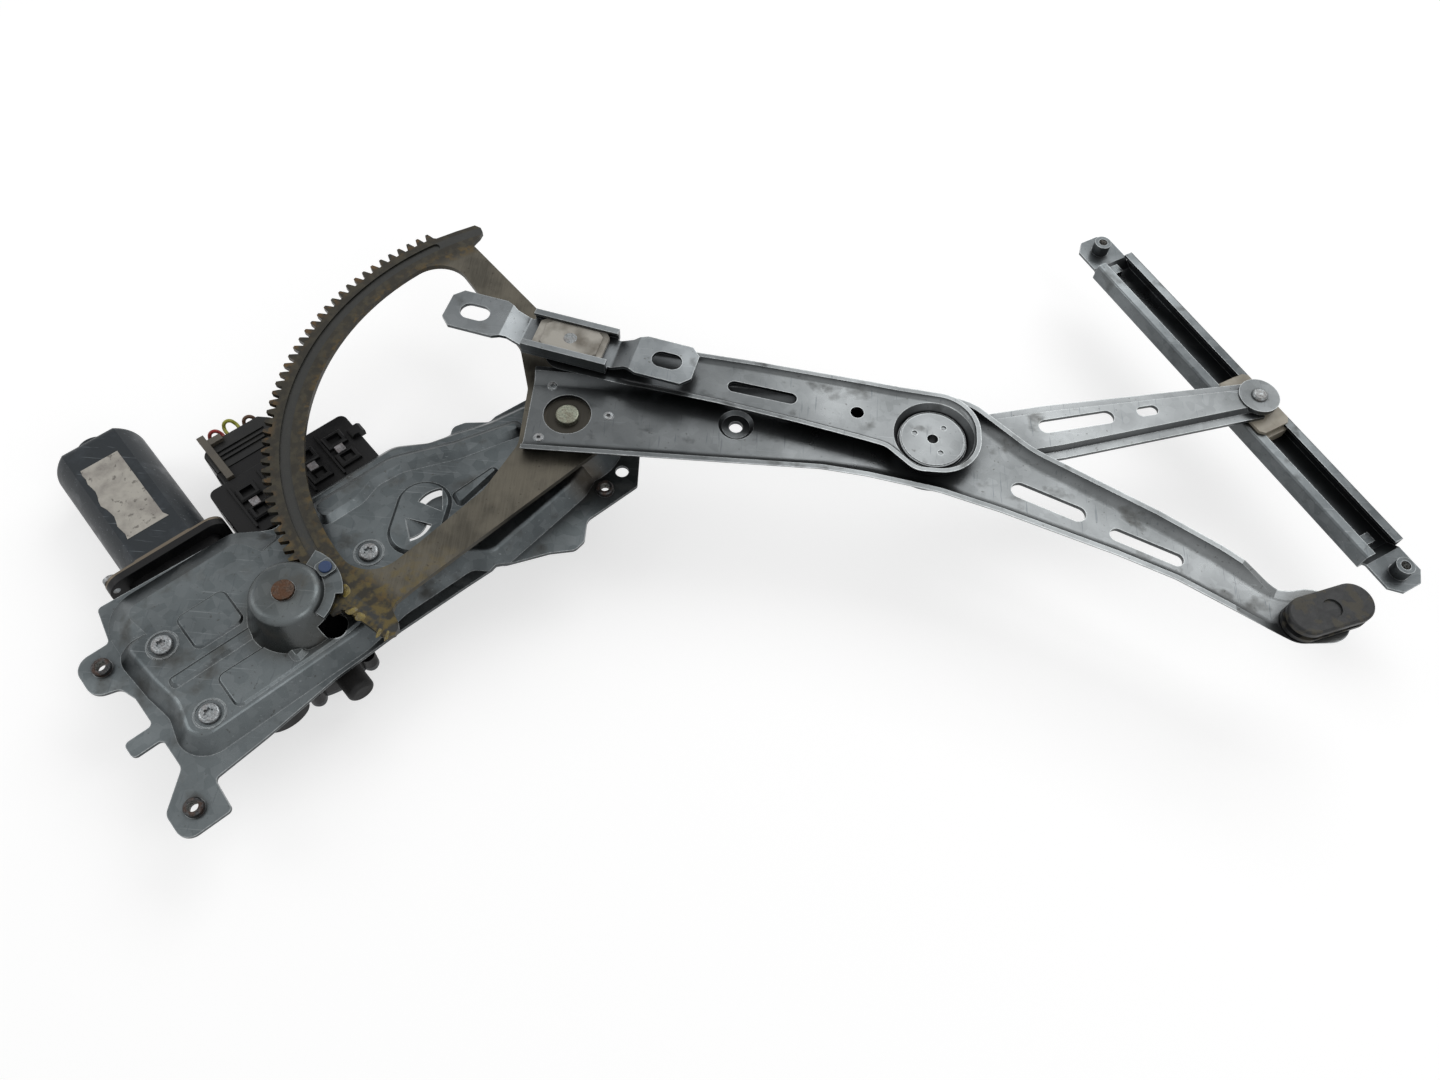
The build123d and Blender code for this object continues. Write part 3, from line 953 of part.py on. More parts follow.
def make_gear_housing():
    top, foot = CHAMBER_TOP, CHAMBER_FOOT
    neck_half = NECK_WIDTH / 2
    body = rod(CHAMBER_RADIUS, foot, top)
    for place in COVER_SCREWS:
        body += rod(COVER_EAR_RADIUS, foot, foot + 8, place)
    body += rod(COLLAR_RADIUS, top, PAD_BOTTOM - 0.5)
    body += lying_rod(TUNNEL_RADIUS, TUNNEL_END, NECK_START)
    neck = block(MOTOR_P - neck_half, MOTOR_P + neck_half, NECK_START, FLANGE_PLACE,
                 MOTOR_Z - NECK_HEIGHT / 2, MOTOR_Z + NECK_HEIGHT / 2)
    body += fillet(neck.edges().filter_by(Axis.Y), 5.0)
    flange = block(FLANGE_P[0], FLANGE_P[1], FLANGE_PLACE, FLANGE_PLACE + FLANGE_THICKNESS,
                   MOTOR_Z - FLANGE_HEIGHT / 2, MOTOR_Z + FLANGE_HEIGHT / 2)
    body += fillet(flange.edges().filter_by(Axis.Y), FLANGE_ROUNDING)
    for place in MOTOR_PADS:
        body += rod(BOSS_RADIUS, top - 8, PAD_BOTTOM, place)
        reach = hypot(*place) - BOSS_RADIUS
        web = block(CHAMBER_RADIUS - 8, reach + BOSS_RADIUS / 2, -BOSS_RADIUS + 1, BOSS_RADIUS - 1,
                    top - 8, top - 3)
        body += Rot(0, 0, degrees(atan2(place[1], place[0]))) * web
    for k in range(HOUSING_RIBS):
        rib = block(COLLAR_RADIUS - 1, CHAMBER_RADIUS - 2, -1, 1, top - 1, top + HOUSING_RIB_HEIGHT)
        body += Rot(0, 0, 360 / HOUSING_RIBS * (k + 0.5)) * rib
    body += lying_rod(BREATHER_RADIUS - 2, -CHAMBER_RADIUS - 4, -CHAMBER_RADIUS + 4, BREATHER_P,
                      -BREATHER_DEPTH)
    body -= rod(WHEEL_CAVITY_RADIUS, foot - 1, top - HOUSING_WALL)
    body -= rod(OUTPUT_SHAFT_RADIUS + PIN_FIT, foot, 0)
    body -= lying_rod(TUNNEL_BORE, TUNNEL_END + 4, NECK_START + 4)
    inner = block(MOTOR_P - neck_half + HOUSING_WALL, MOTOR_P + neck_half - HOUSING_WALL,
                  NECK_START + HOUSING_WALL,
                  FLANGE_PLACE + FLANGE_THICKNESS + 1, MOTOR_Z - NECK_HEIGHT / 2 + HOUSING_WALL,
                  MOTOR_Z + NECK_HEIGHT / 2 - HOUSING_WALL)
    body -= fillet(inner.edges().filter_by(Axis.Y), 3.0)
    for place in MOTOR_PADS:
        body -= rod(SCREW_SHANK_RADIUS + PIN_FIT, PAD_BOTTOM - SCREW_LENGTH - 0.5, 0, place)
    for place in CAN_SCREWS:
        body -= lying_rod(CAN_SCREW_RADIUS, FLANGE_PLACE - 1, FLANGE_PLACE + 9, *place)
    for place in COVER_SCREWS:
        body -= rod(CAN_SCREW_RADIUS, foot - 1, foot + 6, place)
    return PLATE_FRAME * body


def make_gear_cover():
    foot = CHAMBER_FOOT
    outline = Circle(CHAMBER_RADIUS)
    for place in COVER_SCREWS:
        outline += Pos(place[0], place[1]) * Circle(COVER_EAR_RADIUS)
    cover = slab(outline, foot - COVER_THICKNESS, foot)
    cover += ring(WHEEL_CAVITY_RADIUS - 0.2, WHEEL_CAVITY_RADIUS - 2.2, foot, foot + 1.0)
    cover += rod(OUTPUT_SHAFT_RADIUS + 4, foot - COVER_THICKNESS - 1.5, foot - 1)
    cover -= rod(OUTPUT_SHAFT_RADIUS + PIN_FIT, foot - 2, foot + 2)
    for place in COVER_SCREWS:
        cover -= rod(CAN_SCREW_RADIUS, foot - 10, foot + 2, place)
    return PLATE_FRAME * cover


def make_cover_screws():
    foot = CHAMBER_FOOT
    screws = []
    for place in COVER_SCREWS:
        low = foot - COVER_THICKNESS
        screw = rod(CAN_SCREW_RADIUS, low, foot + 5.5, place) + rod(CAN_SCREW_RADIUS * 2, low - 1.6, low,
                                                                    place)
        screws.append(screw - star(CAN_SCREW_RADIUS * 1.2, low - 2, low - 0.7, place))
    return PLATE_FRAME * Compound(screws)


def can_section(margin):
    """The motor can's section: round sides with two flats, drawn in by a margin."""
    width, height = CAN_WIDTH - 2 * margin, CAN_HEIGHT - 2 * margin
    return Circle(width / 2) & Rectangle(width, height)


def along_motor(face, q_low, q_high, place=(MOTOR_P, MOTOR_Z)):
    """A flat outline drawn in P and Z, given a length along Q."""
    return Pos(place[0], q_high, place[1]) * Rot(90, 0, 0) * extrude(face, q_high - q_low, dir=UP)


def make_motor_can():
    front, back = CAN_FRONT, CAN_BACK
    shell = along_motor(can_section(0), front, back)
    shell = fillet(shell.edges().group_by(Axis.Y)[-1], CAN_ROUNDING)
    shell += along_motor(Circle(NUB_RADIUS), back - 3, back + NUB_LENGTH)
    lip = along_motor(Rectangle(FLANGE_P[1] - FLANGE_P[0], CAN_HEIGHT), front, front + CAN_WALL)
    lip = fillet(lip.edges().filter_by(Axis.Y), 8.0)
    shell += Pos((FLANGE_P[0] + FLANGE_P[1]) / 2 - MOTOR_P, 0, 0) * lip
    shell = fillet(shell.edges().group_by(Axis.Y)[-1], 1.5)
    shell -= along_motor(can_section(CAN_WALL), front - 1, back - CAN_WALL)
    shell -= along_motor(Circle(NUB_RADIUS - CAN_WALL), back - 5, back + NUB_LENGTH - CAN_WALL)
    for place in CAN_SCREWS:
        shell -= lying_rod(CAN_SCREW_RADIUS + 0.2, front - 1, front + 5, *place)
    return PLATE_FRAME * shell


def make_can_screws():
    front = CAN_FRONT + CAN_WALL
    screws = []
    for place in CAN_SCREWS:
        screw = lying_rod(CAN_SCREW_RADIUS, FLANGE_PLACE, front, *place)
        screws.append(screw + lying_rod(CAN_SCREW_RADIUS * 1.9, front, front + 2.4, *place))
    return PLATE_FRAME * Compound(screws)


def make_magnets():
    outer = can_section(CAN_WALL)
    band = outer - Circle(MAGNET_INNER_RADIUS)
    magnets = []
    for side in (-1, 1):
        slice_ = Pos(side * CAN_WIDTH / 2, 0) * Rectangle(MAGNET_SPREAD, 2 * MAGNET_HALF_HEIGHT)
        magnets.append(along_motor(band & slice_, CORE_START - 4, CORE_START + ARMATURE_LENGTH + 4))
    return PLATE_FRAME * Compound(magnets)


def make_can_bushing():
    back = CAN_BACK
    face = Circle(NUB_RADIUS - CAN_WALL) - Circle(SHAFT_RADIUS + PIN_FIT)
    return PLATE_FRAME * along_motor(face, back - CAN_WALL - 2, back + NUB_LENGTH - CAN_WALL)


def make_brush_card():
    q = FLANGE_PLACE - 2
    width, height = NECK_WIDTH - 2 * HOUSING_WALL - 0.4, NECK_HEIGHT - 2 * HOUSING_WALL - 0.4
    card = along_motor(RectangleRounded(width, height, 3.2) - Circle(COMMUTATOR_RADIUS + 1.5), q, q + 2.5)
    for side in (-1, 1):
        low, high = sorted((MOTOR_P + side * (COMMUTATOR_RADIUS + 1), MOTOR_P + side * BRUSH_OUTER))
        holder = block(low, high, q - 8, q, MOTOR_Z - 4.2, MOTOR_Z + 4.2)
        card += holder - block(low - 1, high + 1, q - 7.2, q - 0.8, MOTOR_Z - 3.2, MOTOR_Z + 3.2)
    return PLATE_FRAME * card


def make_brushes():
    q = FLANGE_PLACE - 2
    brushes = []
    for side in (-1, 1):
        low, high = sorted((MOTOR_P + side * (COMMUTATOR_RADIUS + 0.1),
                            MOTOR_P + side * (BRUSH_OUTER - 1)))
        brushes.append(block(low, high, q - 7.1, q - 0.9, MOTOR_Z - 3.1, MOTOR_Z + 3.1))
    return PLATE_FRAME * Compound(brushes)


def worm_placed(solid):
    """A solid drawn about Z, laid along the motor's shaft with its middle at the wheel."""
    return PLATE_FRAME * Pos(MOTOR_P, 0, MOTOR_Z) * Rot(-90, 0, 0) * solid


def make_armature_shaft():
    lead = pi * WORM_MODULE
    half = WORM_TURNS * lead / 2
    tip, root = WORM_PITCH_RADIUS + WORM_TOOTH_TOP, WORM_PITCH_RADIUS - WORM_TOOTH_FOOT
    slope = tan(radians(PRESSURE_ANGLE))
    at_pitch = (lead / 2 - WORM_BACKLASH) / 2
    at_tip, at_root = at_pitch - WORM_TOOTH_TOP * slope, at_pitch + WORM_TOOTH_FOOT * slope
    section = Plane.XZ * make_face(Polyline((root - 0.2, -at_root), (tip, -at_tip), (tip, at_tip),
                                            (root - 0.2, at_root), close=True))
    path = Helix(lead, 2 * half, WORM_PITCH_RADIUS, center=(0, 0, -half))
    thread = sweep(Pos(0, 0, -half) * section, path=path, is_frenet=True)
    back = CAN_BACK + NUB_LENGTH - CAN_WALL
    shaft = rod(root, -half - 2, half + 2)
    shaft += rod(SHAFT_RADIUS, TUNNEL_END + 5, back - 1)
    return worm_placed(shaft + thread)


def make_armature_core():
    stack = Circle(ARMATURE_RADIUS) - Circle(SHAFT_RADIUS)
    for k in range(ARMATURE_SLOTS):
        turn = Rot(0, 0, 360 / ARMATURE_SLOTS * k)
        stack -= turn * Pos(ARMATURE_RADIUS - 4.5, 0) * Circle(2.2)
        stack -= turn * Pos(ARMATURE_RADIUS - 2, 0) * Rectangle(5, 1.8)
    return worm_placed(slab(stack, CORE_START, CORE_START + ARMATURE_LENGTH))


def make_armature_winding():
    turns = []
    for low in (CORE_START - 6, CORE_START + ARMATURE_LENGTH):
        end = ring(ARMATURE_RADIUS - 2, SHAFT_RADIUS, low, low + 6)
        turns.append(fillet(end.edges().filter_by(GeomType.CIRCLE).filter_by(
            lambda edge: edge.radius > SHAFT_RADIUS + 1), 2.0))
    bundle = turns[0] + turns[1]
    for k in range(ARMATURE_SLOTS):
        place = Rot(0, 0, 360 / ARMATURE_SLOTS * k) * Pos(ARMATURE_RADIUS - 4.5, 0, 0)
        bundle += place * rod(2.0, CORE_START - 1, CORE_START + ARMATURE_LENGTH + 1)
    return worm_placed(bundle)


def make_commutator():
    low = COMMUTATOR_START
    drum = ring(COMMUTATOR_RADIUS, SHAFT_RADIUS, low, low + COMMUTATOR_LENGTH)
    for k in range(ARMATURE_SLOTS):
        drum -= Rot(0, 0, 360 / ARMATURE_SLOTS * k) * block(
            COMMUTATOR_RADIUS - 1.2, COMMUTATOR_RADIUS + 1, -0.3, 0.3, low - 1,
            low + COMMUTATOR_LENGTH - 2)
    return worm_placed(drum)


def make_sensor_magnet():
    return worm_placed(ring(SENSOR_RADIUS, SHAFT_RADIUS, SENSOR_START, SENSOR_START + 5))


def make_pinion():
    rim = []
    for k in range(PINION_TEETH):
        centre = PINION_PHASE + 360 / PINION_TEETH * k
        rim += tooth_points(PINION_TEETH, PROFILE_SHIFT, PINION_ROOT, PINION_TIP, centre)
    gear = slab(make_face(Polyline(*rim, close=True)), PINION_BOTTOM, PINION_TOP)
    gear += rod(OUTPUT_SHAFT_RADIUS, WHEEL_LOW - 2, PINION_BOTTOM)
    gear += rod(JOURNAL_RADIUS, PINION_TOP, DOME_TOP + JOURNAL_PROUD)
    gear += rod(DRIVE_HUB_RADIUS, WHEEL_LOW + 1, WHEEL_HIGH - 1)
    for k in range(DRIVE_LUGS):
        lug = block(0, DRIVE_HUB_RADIUS + 3, -1.5, 1.5, WHEEL_LOW + 1, WHEEL_HIGH - 1)
        gear += Rot(0, 0, 360 / DRIVE_LUGS * k) * lug
    return Pos(*PINION_PLACE) * gear


def make_worm_wheel():
    tip, root = WHEEL_RADIUS + WORM_TOOTH_TOP - 0.1, WHEEL_RADIUS - WORM_TOOTH_FOOT
    slope = tan(radians(PRESSURE_ANGLE))
    at_pitch = (pi * WORM_MODULE / 2 - 0.05) / 2
    points = []
    for k in range(WORM_WHEEL_TEETH):
        middle = 2 * pi * (k + 0.5) / WORM_WHEEL_TEETH
        for radius, half in ((root, at_pitch + WORM_TOOTH_FOOT * slope),
                             (tip, at_pitch - WORM_TOOTH_TOP * slope),
                             (tip, WORM_TOOTH_TOP * slope - at_pitch),
                             (root, -at_pitch - WORM_TOOTH_FOOT * slope)):
            points.append((radius * cos(middle - half / radius), radius * sin(middle - half / radius)))
    twist = degrees(WHEEL_THICKNESS / 2 / WHEEL_RADIUS * WORM_MODULE / (2 * WORM_PITCH_RADIUS))
    face = make_face(Polyline(*points, close=True))
    low, high = WHEEL_LOW, WHEEL_HIGH
    wheel = loft([Pos(0, 0, low) * Rot(0, 0, -twist) * face, Pos(0, 0, high) * Rot(0, 0, twist) * face],
                 ruled=True)
    wheel -= rod(WHEEL_POCKET_RADIUS, low + 1, high + 1)
    wheel -= rod(OUTPUT_SHAFT_RADIUS + PIN_FIT, low - 1, high)
    for k in range(DRIVE_LUGS):
        lug = block(0, WHEEL_POCKET_RADIUS + 3, -2, 2, low + 1, high + 1)
        wheel -= Rot(0, 0, 360 / DRIVE_LUGS * (k + 0.5)) * lug
    return PLATE_FRAME * wheel


def make_drive_damper():
    low, high = WHEEL_LOW + 1, WHEEL_HIGH - 1
    face = Circle(WHEEL_POCKET_RADIUS) - Circle(DRIVE_HUB_RADIUS)
    for k in range(DRIVE_LUGS):
        face += Rot(0, 0, 360 / DRIVE_LUGS * (k + 0.5)) * Pos(WHEEL_POCKET_RADIUS, 0) * Rectangle(6, 4)
        turn = 360 / DRIVE_LUGS * k - (MESH_ANGLE - 180)
        face -= Rot(0, 0, turn) * Pos(DRIVE_HUB_RADIUS, 0) * Rectangle(6, 3)
    return PLATE_FRAME * slab(face, low, high)


def make_breather():
    low = -CHAMBER_RADIUS - BREATHER_LENGTH
    cap = lying_rod(BREATHER_RADIUS, low, -CHAMBER_RADIUS - 1, BREATHER_P, -BREATHER_DEPTH)
    cap = fillet(cap.edges().group_by(Axis.Y)[0], 2.5)
    cap -= lying_rod(BREATHER_RADIUS - 2, -CHAMBER_RADIUS - 4, 0, BREATHER_P, -BREATHER_DEPTH)
    return PLATE_FRAME * cap


def module_box(margin, low, high):
    """The electronics box's space, drawn in by a margin, between two levels."""
    return block(MODULE_P[0] + margin, MODULE_P[1] - margin, MODULE_Q[0] + margin, MODULE_Q[1] - margin,
                 low, high)


def snap_places():
    return [SNAP_START + SNAP_PITCH * k for k in range(SNAP_COUNT)]


def make_electronics_housing():
    top, foot = MODULE_TOP, MODULE_FOOT
    body = module_box(0, foot, top - MODULE_LID)
    body = fillet(body.edges().filter_by(Axis.Z), 4.0)
    bridge = block(NECK_EDGE, MODULE_P[0] + 3, MODULE_Q[0] + 3, FLANGE_PLACE - 3, foot + 3,
                   top - MODULE_LID - 4)
    body += bridge
    header = block(PLUG_P[0] - 1, PLUG_P[1] + 1, MODULE_Q[1] - 3, MODULE_Q[1] + HEADER_LENGTH,
                   HEADER_LOW, HEADER_HIGH)
    body += fillet(header.edges().filter_by(Axis.Y), 2.0)
    for p in snap_places():
        body += block(p - 5.5, p + 5.5, MODULE_Q[0] - 3, MODULE_Q[0] + 1, top - 14, top - MODULE_LID)
    body -= module_box(MODULE_WALL, foot + MODULE_WALL, top)
    body -= block(PLUG_P[0] + 1, PLUG_P[1] - 1, MODULE_Q[1] - 2, MODULE_Q[1] + HEADER_LENGTH + 1,
                  HEADER_LOW + 2,
                  HEADER_HIGH - 2)
    return PLATE_FRAME * body


def make_electronics_cover():
    top = MODULE_TOP
    lid = module_box(0, top - MODULE_LID, top)
    lid = fillet(lid.edges().filter_by(Axis.Z), 4.0)
    lid = fillet(lid.edges().group_by(Axis.Z)[-1], 0.8)
    lid += module_box(MODULE_WALL + 0.2, top - MODULE_LID - 1.5, top - 1)
    for p in snap_places():
        for q in COVER_ROWS:
            cell = block(p - 5.8, p + 5.8, q - 4.6, q + 4.6, top - 1, top + COVER_RISE)
            cell = chamfer(cell.edges().group_by(Axis.Z)[-1], 0.8)
            lid += cell - block(p - 3.6, p + 3.6, q - 2.6, q + 2.6, top - 0.2, top + 5)
        lid += block(p - 2.2, p + 2.2, COVER_ROWS[0] - 1.6, COVER_ROWS[0] + 1.6, top - 0.5, top + 0.8)
        lid += block(p - 7.6, p - 6.4, MODULE_Q[0] + 4, MODULE_Q[1] - 4, top - 1, top + 1.6)
    hook = block(MODULE_P[1] - 5, MODULE_P[1] + 3, HOOK_Q - 3, HOOK_Q + 3, top - 2, top + 3)
    lid += chamfer(hook.edges().filter_by(Axis.Y).group_by(Axis.Z)[-1], 1.5)
    lid -= module_box(MODULE_WALL + 2, top - 5, top - MODULE_LID + 0.5)
    return PLATE_FRAME * lid


def make_circuit_board():
    top = MODULE_FOOT + MODULE_WALL + 4
    board = module_box(MODULE_WALL + 0.3, top - BOARD_THICKNESS, top)
    for p, q, length, width, height in BOARD_PARTS:
        board += block(p - length / 2, p + length / 2, q - width / 2, q + width / 2, top, top + height)
    for k in range(PLUG_PINS):
        p = PLUG_P[0] + 4 + k * (PLUG_P[1] - PLUG_P[0] - 8) / (PLUG_PINS - 1)
        board += block(p - 0.4, p + 0.4, MODULE_Q[1] - 7, MODULE_Q[1] - 6.2, top, PIN_LEVEL + 0.4)
        board += block(p - 0.4, p + 0.4, MODULE_Q[1] - 7, MODULE_Q[1] + HEADER_LENGTH - 3,
                       PIN_LEVEL - 0.4,
                       PIN_LEVEL + 0.4)
    return PLATE_FRAME * board


def make_connector_plug():
    inner = block(PLUG_P[0] + 1.4, PLUG_P[1] - 1.4, MODULE_Q[1] + 1, MODULE_Q[1] + HEADER_LENGTH + 1,
                  HEADER_LOW + 2.4,
                  HEADER_HIGH - 2.4)
    low, high = MODULE_Q[1] + HEADER_LENGTH + 0.1, PLUG_BACK
    shell = block(PLUG_P[0], PLUG_P[1], low, high, HEADER_LOW - 0.5, HEADER_HIGH + 0.5)
    shell = chamfer(shell.edges().filter_by(Axis.Z).group_by(Axis.Y)[-1], 6.0)
    shell = fillet(shell.edges().filter_by(Axis.Y), 1.5)
    plug = inner + shell
    for k in range(PLUG_RIBS):
        q = low + 5 + 3.2 * k
        plug += block(PLUG_P[0] + 7, PLUG_P[1] - 7, q, q + 1.2, HEADER_HIGH, HEADER_HIGH + 1.4)
    plug -= block(PLUG_P[0] + 4, PLUG_P[1] - 4, high - 7, high + 1, HEADER_LOW + 3, HEADER_HIGH - 3)
    for k in range(PLUG_PINS):
        p = PLUG_P[0] + 4 + k * (PLUG_P[1] - PLUG_P[0] - 8) / (PLUG_PINS - 1)
        plug -= block(p - 0.6, p + 0.6, MODULE_Q[1] - 1, MODULE_Q[1] + HEADER_LENGTH, PIN_LEVEL - 0.6,
                      PIN_LEVEL + 0.6)
    return PLATE_FRAME * plug


def make_plug_latch():
    """The locking lever that lies along the plug's left side."""
    low, high = MODULE_Q[1] + 0.5, PLUG_BACK + LATCH_REACH
    lever = block(PLUG_P[0] + 2.5, PLUG_P[0] + 6.5, low, high, HEADER_HIGH + 0.5, HEADER_HIGH + 3.5)
    lever = chamfer(lever.edges().filter_by(Axis.X).group_by(Axis.Y)[-1], 1.2)
    return PLATE_FRAME * (lever + block(PLUG_P[0] + 2.5, PLUG_P[0] + 14, high - 9, high - 5,
                                        HEADER_HIGH + 0.5,
                                        HEADER_HIGH + 3.0))


def make_lead(p, reach):
    """One captive lead: out of the plug's back, up in a bow and back into the plug."""
    start = PLUG_BACK - 6
    z = (HEADER_LOW + HEADER_HIGH) / 2
    line = FilletPolyline((p, start, z - 2), (p, start + reach, z),
                          (p + LEAD_SHIFT / 2, start + reach + 3, z + LEAD_RISE),
                          (p + LEAD_SHIFT, start + reach - 2, z + 1), (p + LEAD_SHIFT, start, z - 2),
                          radius=LEAD_BEND)
    section = Plane(origin=line @ 0, z_dir=line % 0) * Circle(LEAD_RADIUS)
    return PLATE_FRAME * sweep(section, path=line)


NODES = {
    "base_plate": make_base_plate,
    "tab_nuts": make_nuts,
    "pivot_stud": make_pivot_stud,
    "pivot_washer": make_pivot_washer,
    "guide_button": make_button,
    "motor_screws": make_motor_screws,
    "gear_housing": make_gear_housing,
    "gear_cover": make_gear_cover,
    "cover_screws": make_cover_screws,
    "breather_cap": make_breather,
    "motor_can": make_motor_can,
    "can_screws": make_can_screws,
    "can_bushing": make_can_bushing,
    "magnets": make_magnets,
    "brush_card": make_brush_card,
    "brushes": make_brushes,
    "electronics_housing": make_electronics_housing,
    "electronics_cover": make_electronics_cover,
    "circuit_board": make_circuit_board,
    "connector_plug": make_connector_plug,
    "plug_latch": make_plug_latch,
    "armature_shaft": make_armature_shaft,
    "armature_core": make_armature_core,
    "armature_winding": make_armature_winding,
    "commutator": make_commutator,
    "sensor_magnet": make_sensor_magnet,
    "pinion": make_pinion,
    "worm_wheel": make_worm_wheel,
    "drive_damper": make_drive_damper,
    "sector_gear": make_sector,
    "lift_arm": make_lift_arm,
    "arm_rivets": make_arm_rivets,
    "shoe_pin": make_shoe_pin,
    "shoe": make_shoe,
    "cross_arm_left": make_cross_arm_left,
    "cross_arm_right": make_cross_arm_right,
    "centre_hub": make_centre_hub,
    "bracket_pin": make_bracket_pin,
    "bracket_slider": make_bracket_slider,
    "slotted_bracket": make_bracket,
    "rail_pin": make_rail_pin,
    "rail_slider": make_rail_slider,
    "guide_rail": make_rail,
}

os.makedirs("parts", exist_ok=True)
for name, make in NODES.items():
    export_step(TO_ROW_FRAME * make(), f"parts/{name}.step")
for name, (place, reach) in LEADS.items():
    export_step(TO_ROW_FRAME * make_lead(place, reach), f"parts/{name}.step")
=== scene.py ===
from math import cos, radians, sin

import bmesh
import bpy
from mathutils import Matrix, Vector


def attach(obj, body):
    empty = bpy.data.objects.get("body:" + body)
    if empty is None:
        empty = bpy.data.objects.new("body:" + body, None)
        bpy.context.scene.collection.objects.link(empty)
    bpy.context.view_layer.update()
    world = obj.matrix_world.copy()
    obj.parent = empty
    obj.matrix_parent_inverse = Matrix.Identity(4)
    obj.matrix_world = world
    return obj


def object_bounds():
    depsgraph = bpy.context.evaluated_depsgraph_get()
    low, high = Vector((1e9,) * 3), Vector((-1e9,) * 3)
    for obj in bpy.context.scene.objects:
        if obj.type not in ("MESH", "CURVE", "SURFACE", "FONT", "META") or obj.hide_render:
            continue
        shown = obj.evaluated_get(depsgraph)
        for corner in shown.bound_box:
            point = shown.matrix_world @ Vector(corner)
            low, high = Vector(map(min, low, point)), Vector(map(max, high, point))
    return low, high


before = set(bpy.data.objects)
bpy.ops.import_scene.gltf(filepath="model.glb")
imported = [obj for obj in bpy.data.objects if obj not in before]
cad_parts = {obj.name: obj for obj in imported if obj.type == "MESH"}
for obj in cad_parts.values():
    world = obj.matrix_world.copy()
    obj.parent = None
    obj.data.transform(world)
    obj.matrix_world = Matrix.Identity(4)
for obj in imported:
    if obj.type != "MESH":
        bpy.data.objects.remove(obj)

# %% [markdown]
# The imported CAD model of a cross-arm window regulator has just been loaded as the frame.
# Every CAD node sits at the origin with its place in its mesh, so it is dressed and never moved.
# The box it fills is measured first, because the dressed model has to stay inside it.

MM = 0.001
bounds_at_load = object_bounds()
print("frame box in metres:", bounds_at_load)

# %% [markdown]
# The photograph was taken from in front and above, with the camera a little rolled.
# Its focal length and place were found by fitting the known round sector and the flat arms.
# A 36 mm wide sensor with a 28 mm lens gives the same perspective.

# %% Camera at the photograph's angle
CAMERA_PLACE = Vector((291.76, -196.68, 513.30)) * MM
CAMERA_DOWN = 59.889
CAMERA_ROLL = 4.719
camera_data = bpy.data.cameras.new("camera")
camera_data.sensor_width = 36.0
camera_data.lens = 28.03
camera_data.clip_start = 0.02
camera = bpy.data.objects.new("camera", camera_data)
bpy.context.scene.collection.objects.link(camera)
camera.matrix_world = (Matrix.Translation(CAMERA_PLACE)
                       @ Matrix.Rotation(radians(90 - CAMERA_DOWN), 4, "X")
                       @ Matrix.Rotation(radians(CAMERA_ROLL), 4, "Z"))
bpy.context.scene.camera = camera
bpy.context.scene.view_settings.view_transform = "Standard"
print("camera at", tuple(round(v, 3) for v in CAMERA_PLACE))

# %% [markdown]
# A node material is a small graph. One helper adds a node, sets its options and fills its inputs,
# with a plain value or with another node's output. Colours are written as the eye knows them,
# in sRGB hex, and one function turns them into the linear values that the shader needs. On a
# worn part a colour is built up like paint: each layer has its own colour, its share and the
# masks that say where it lies. Unevenness is built up in the same way, one dent on another.

# %% Helpers for materials
def linear(hex_colour):
    """An sRGB hex colour as linear red, green, blue and alpha."""
    channels = [int(hex_colour[i:i + 2], 16) / 255 for i in (1, 3, 5)]
    return [c / 12.92 if c <= 0.04045 else ((c + 0.055) / 1.055) ** 2.4 for c in channels] + [1.0]


def add(tree, kind, inputs=None, **settings):
    """Adds a node. An input is a value, a node (its first output) or a pair of node and output."""
    node = tree.nodes.new(kind)
    for name, value in settings.items():
        setattr(node, name, value)
    for name, value in (inputs or {}).items():
        if isinstance(value, bpy.types.Node):
            value = (value, 0)
        if isinstance(value, tuple) and isinstance(value[0], bpy.types.Node):
            tree.links.new(value[0].outputs[value[1]], node.inputs[name])
        else:
            node.inputs[name].default_value = value
    return node


def start_material(name):
    """A new material with its node tree, its shader and Object coordinates."""
    material = bpy.data.materials.new(name)
    material.use_nodes = True
    tree = material.node_tree
    return material, tree, tree.nodes["Principled BSDF"], (add(tree, "ShaderNodeTexCoord"), "Object")


def speckle(tree, place, size_mm, low, high, detail=3.0, stretch=(1, 1, 1), turn=0.0):
    """A mask from 0 to 1 of noise whose blotches are about size_mm across."""
    mapping = add(tree, "ShaderNodeMapping", {"Vector": place, "Scale": stretch,
                                              "Rotation": (0, 0, radians(turn))})
    noise = add(tree, "ShaderNodeTexNoise", {"Vector": mapping, "Scale": 1 / (size_mm * MM),
                                             "Detail": detail})
    return add(tree, "ShaderNodeMapRange", {"Value": noise, "From Min": low, "From Max": high})


def meet(tree, first, *masks):
    """Where all the masks meet. A mask may also be a plain share."""
    for mask in masks:
        first = add(tree, "ShaderNodeMath", {0: first, 1: mask}, operation="MULTIPLY")
    return first


def layered(tree, colour, *layers):
    """A colour with others laid over it. A layer is its hex colour, its share and its masks."""
    for shade, share, *masks in layers:
        cover = meet(tree, *masks) if share == 1 else meet(tree, *masks, share)
        colour = add(tree, "ShaderNodeMix", {0: cover, 6: colour, 7: linear(shade)}, data_type="RGBA"), 2
    return colour


def dented(tree, *dents):
    """A normal with dents, one on another. A dent is its depth in mm, its strength and its height."""
    normal = {}
    for depth_mm, strength, height in dents:
        bump = add(tree, "ShaderNodeBump", {"Height": height, "Distance": depth_mm * MM,
                                            "Strength": strength} | normal)
        normal = {"Normal": bump}
    return bump


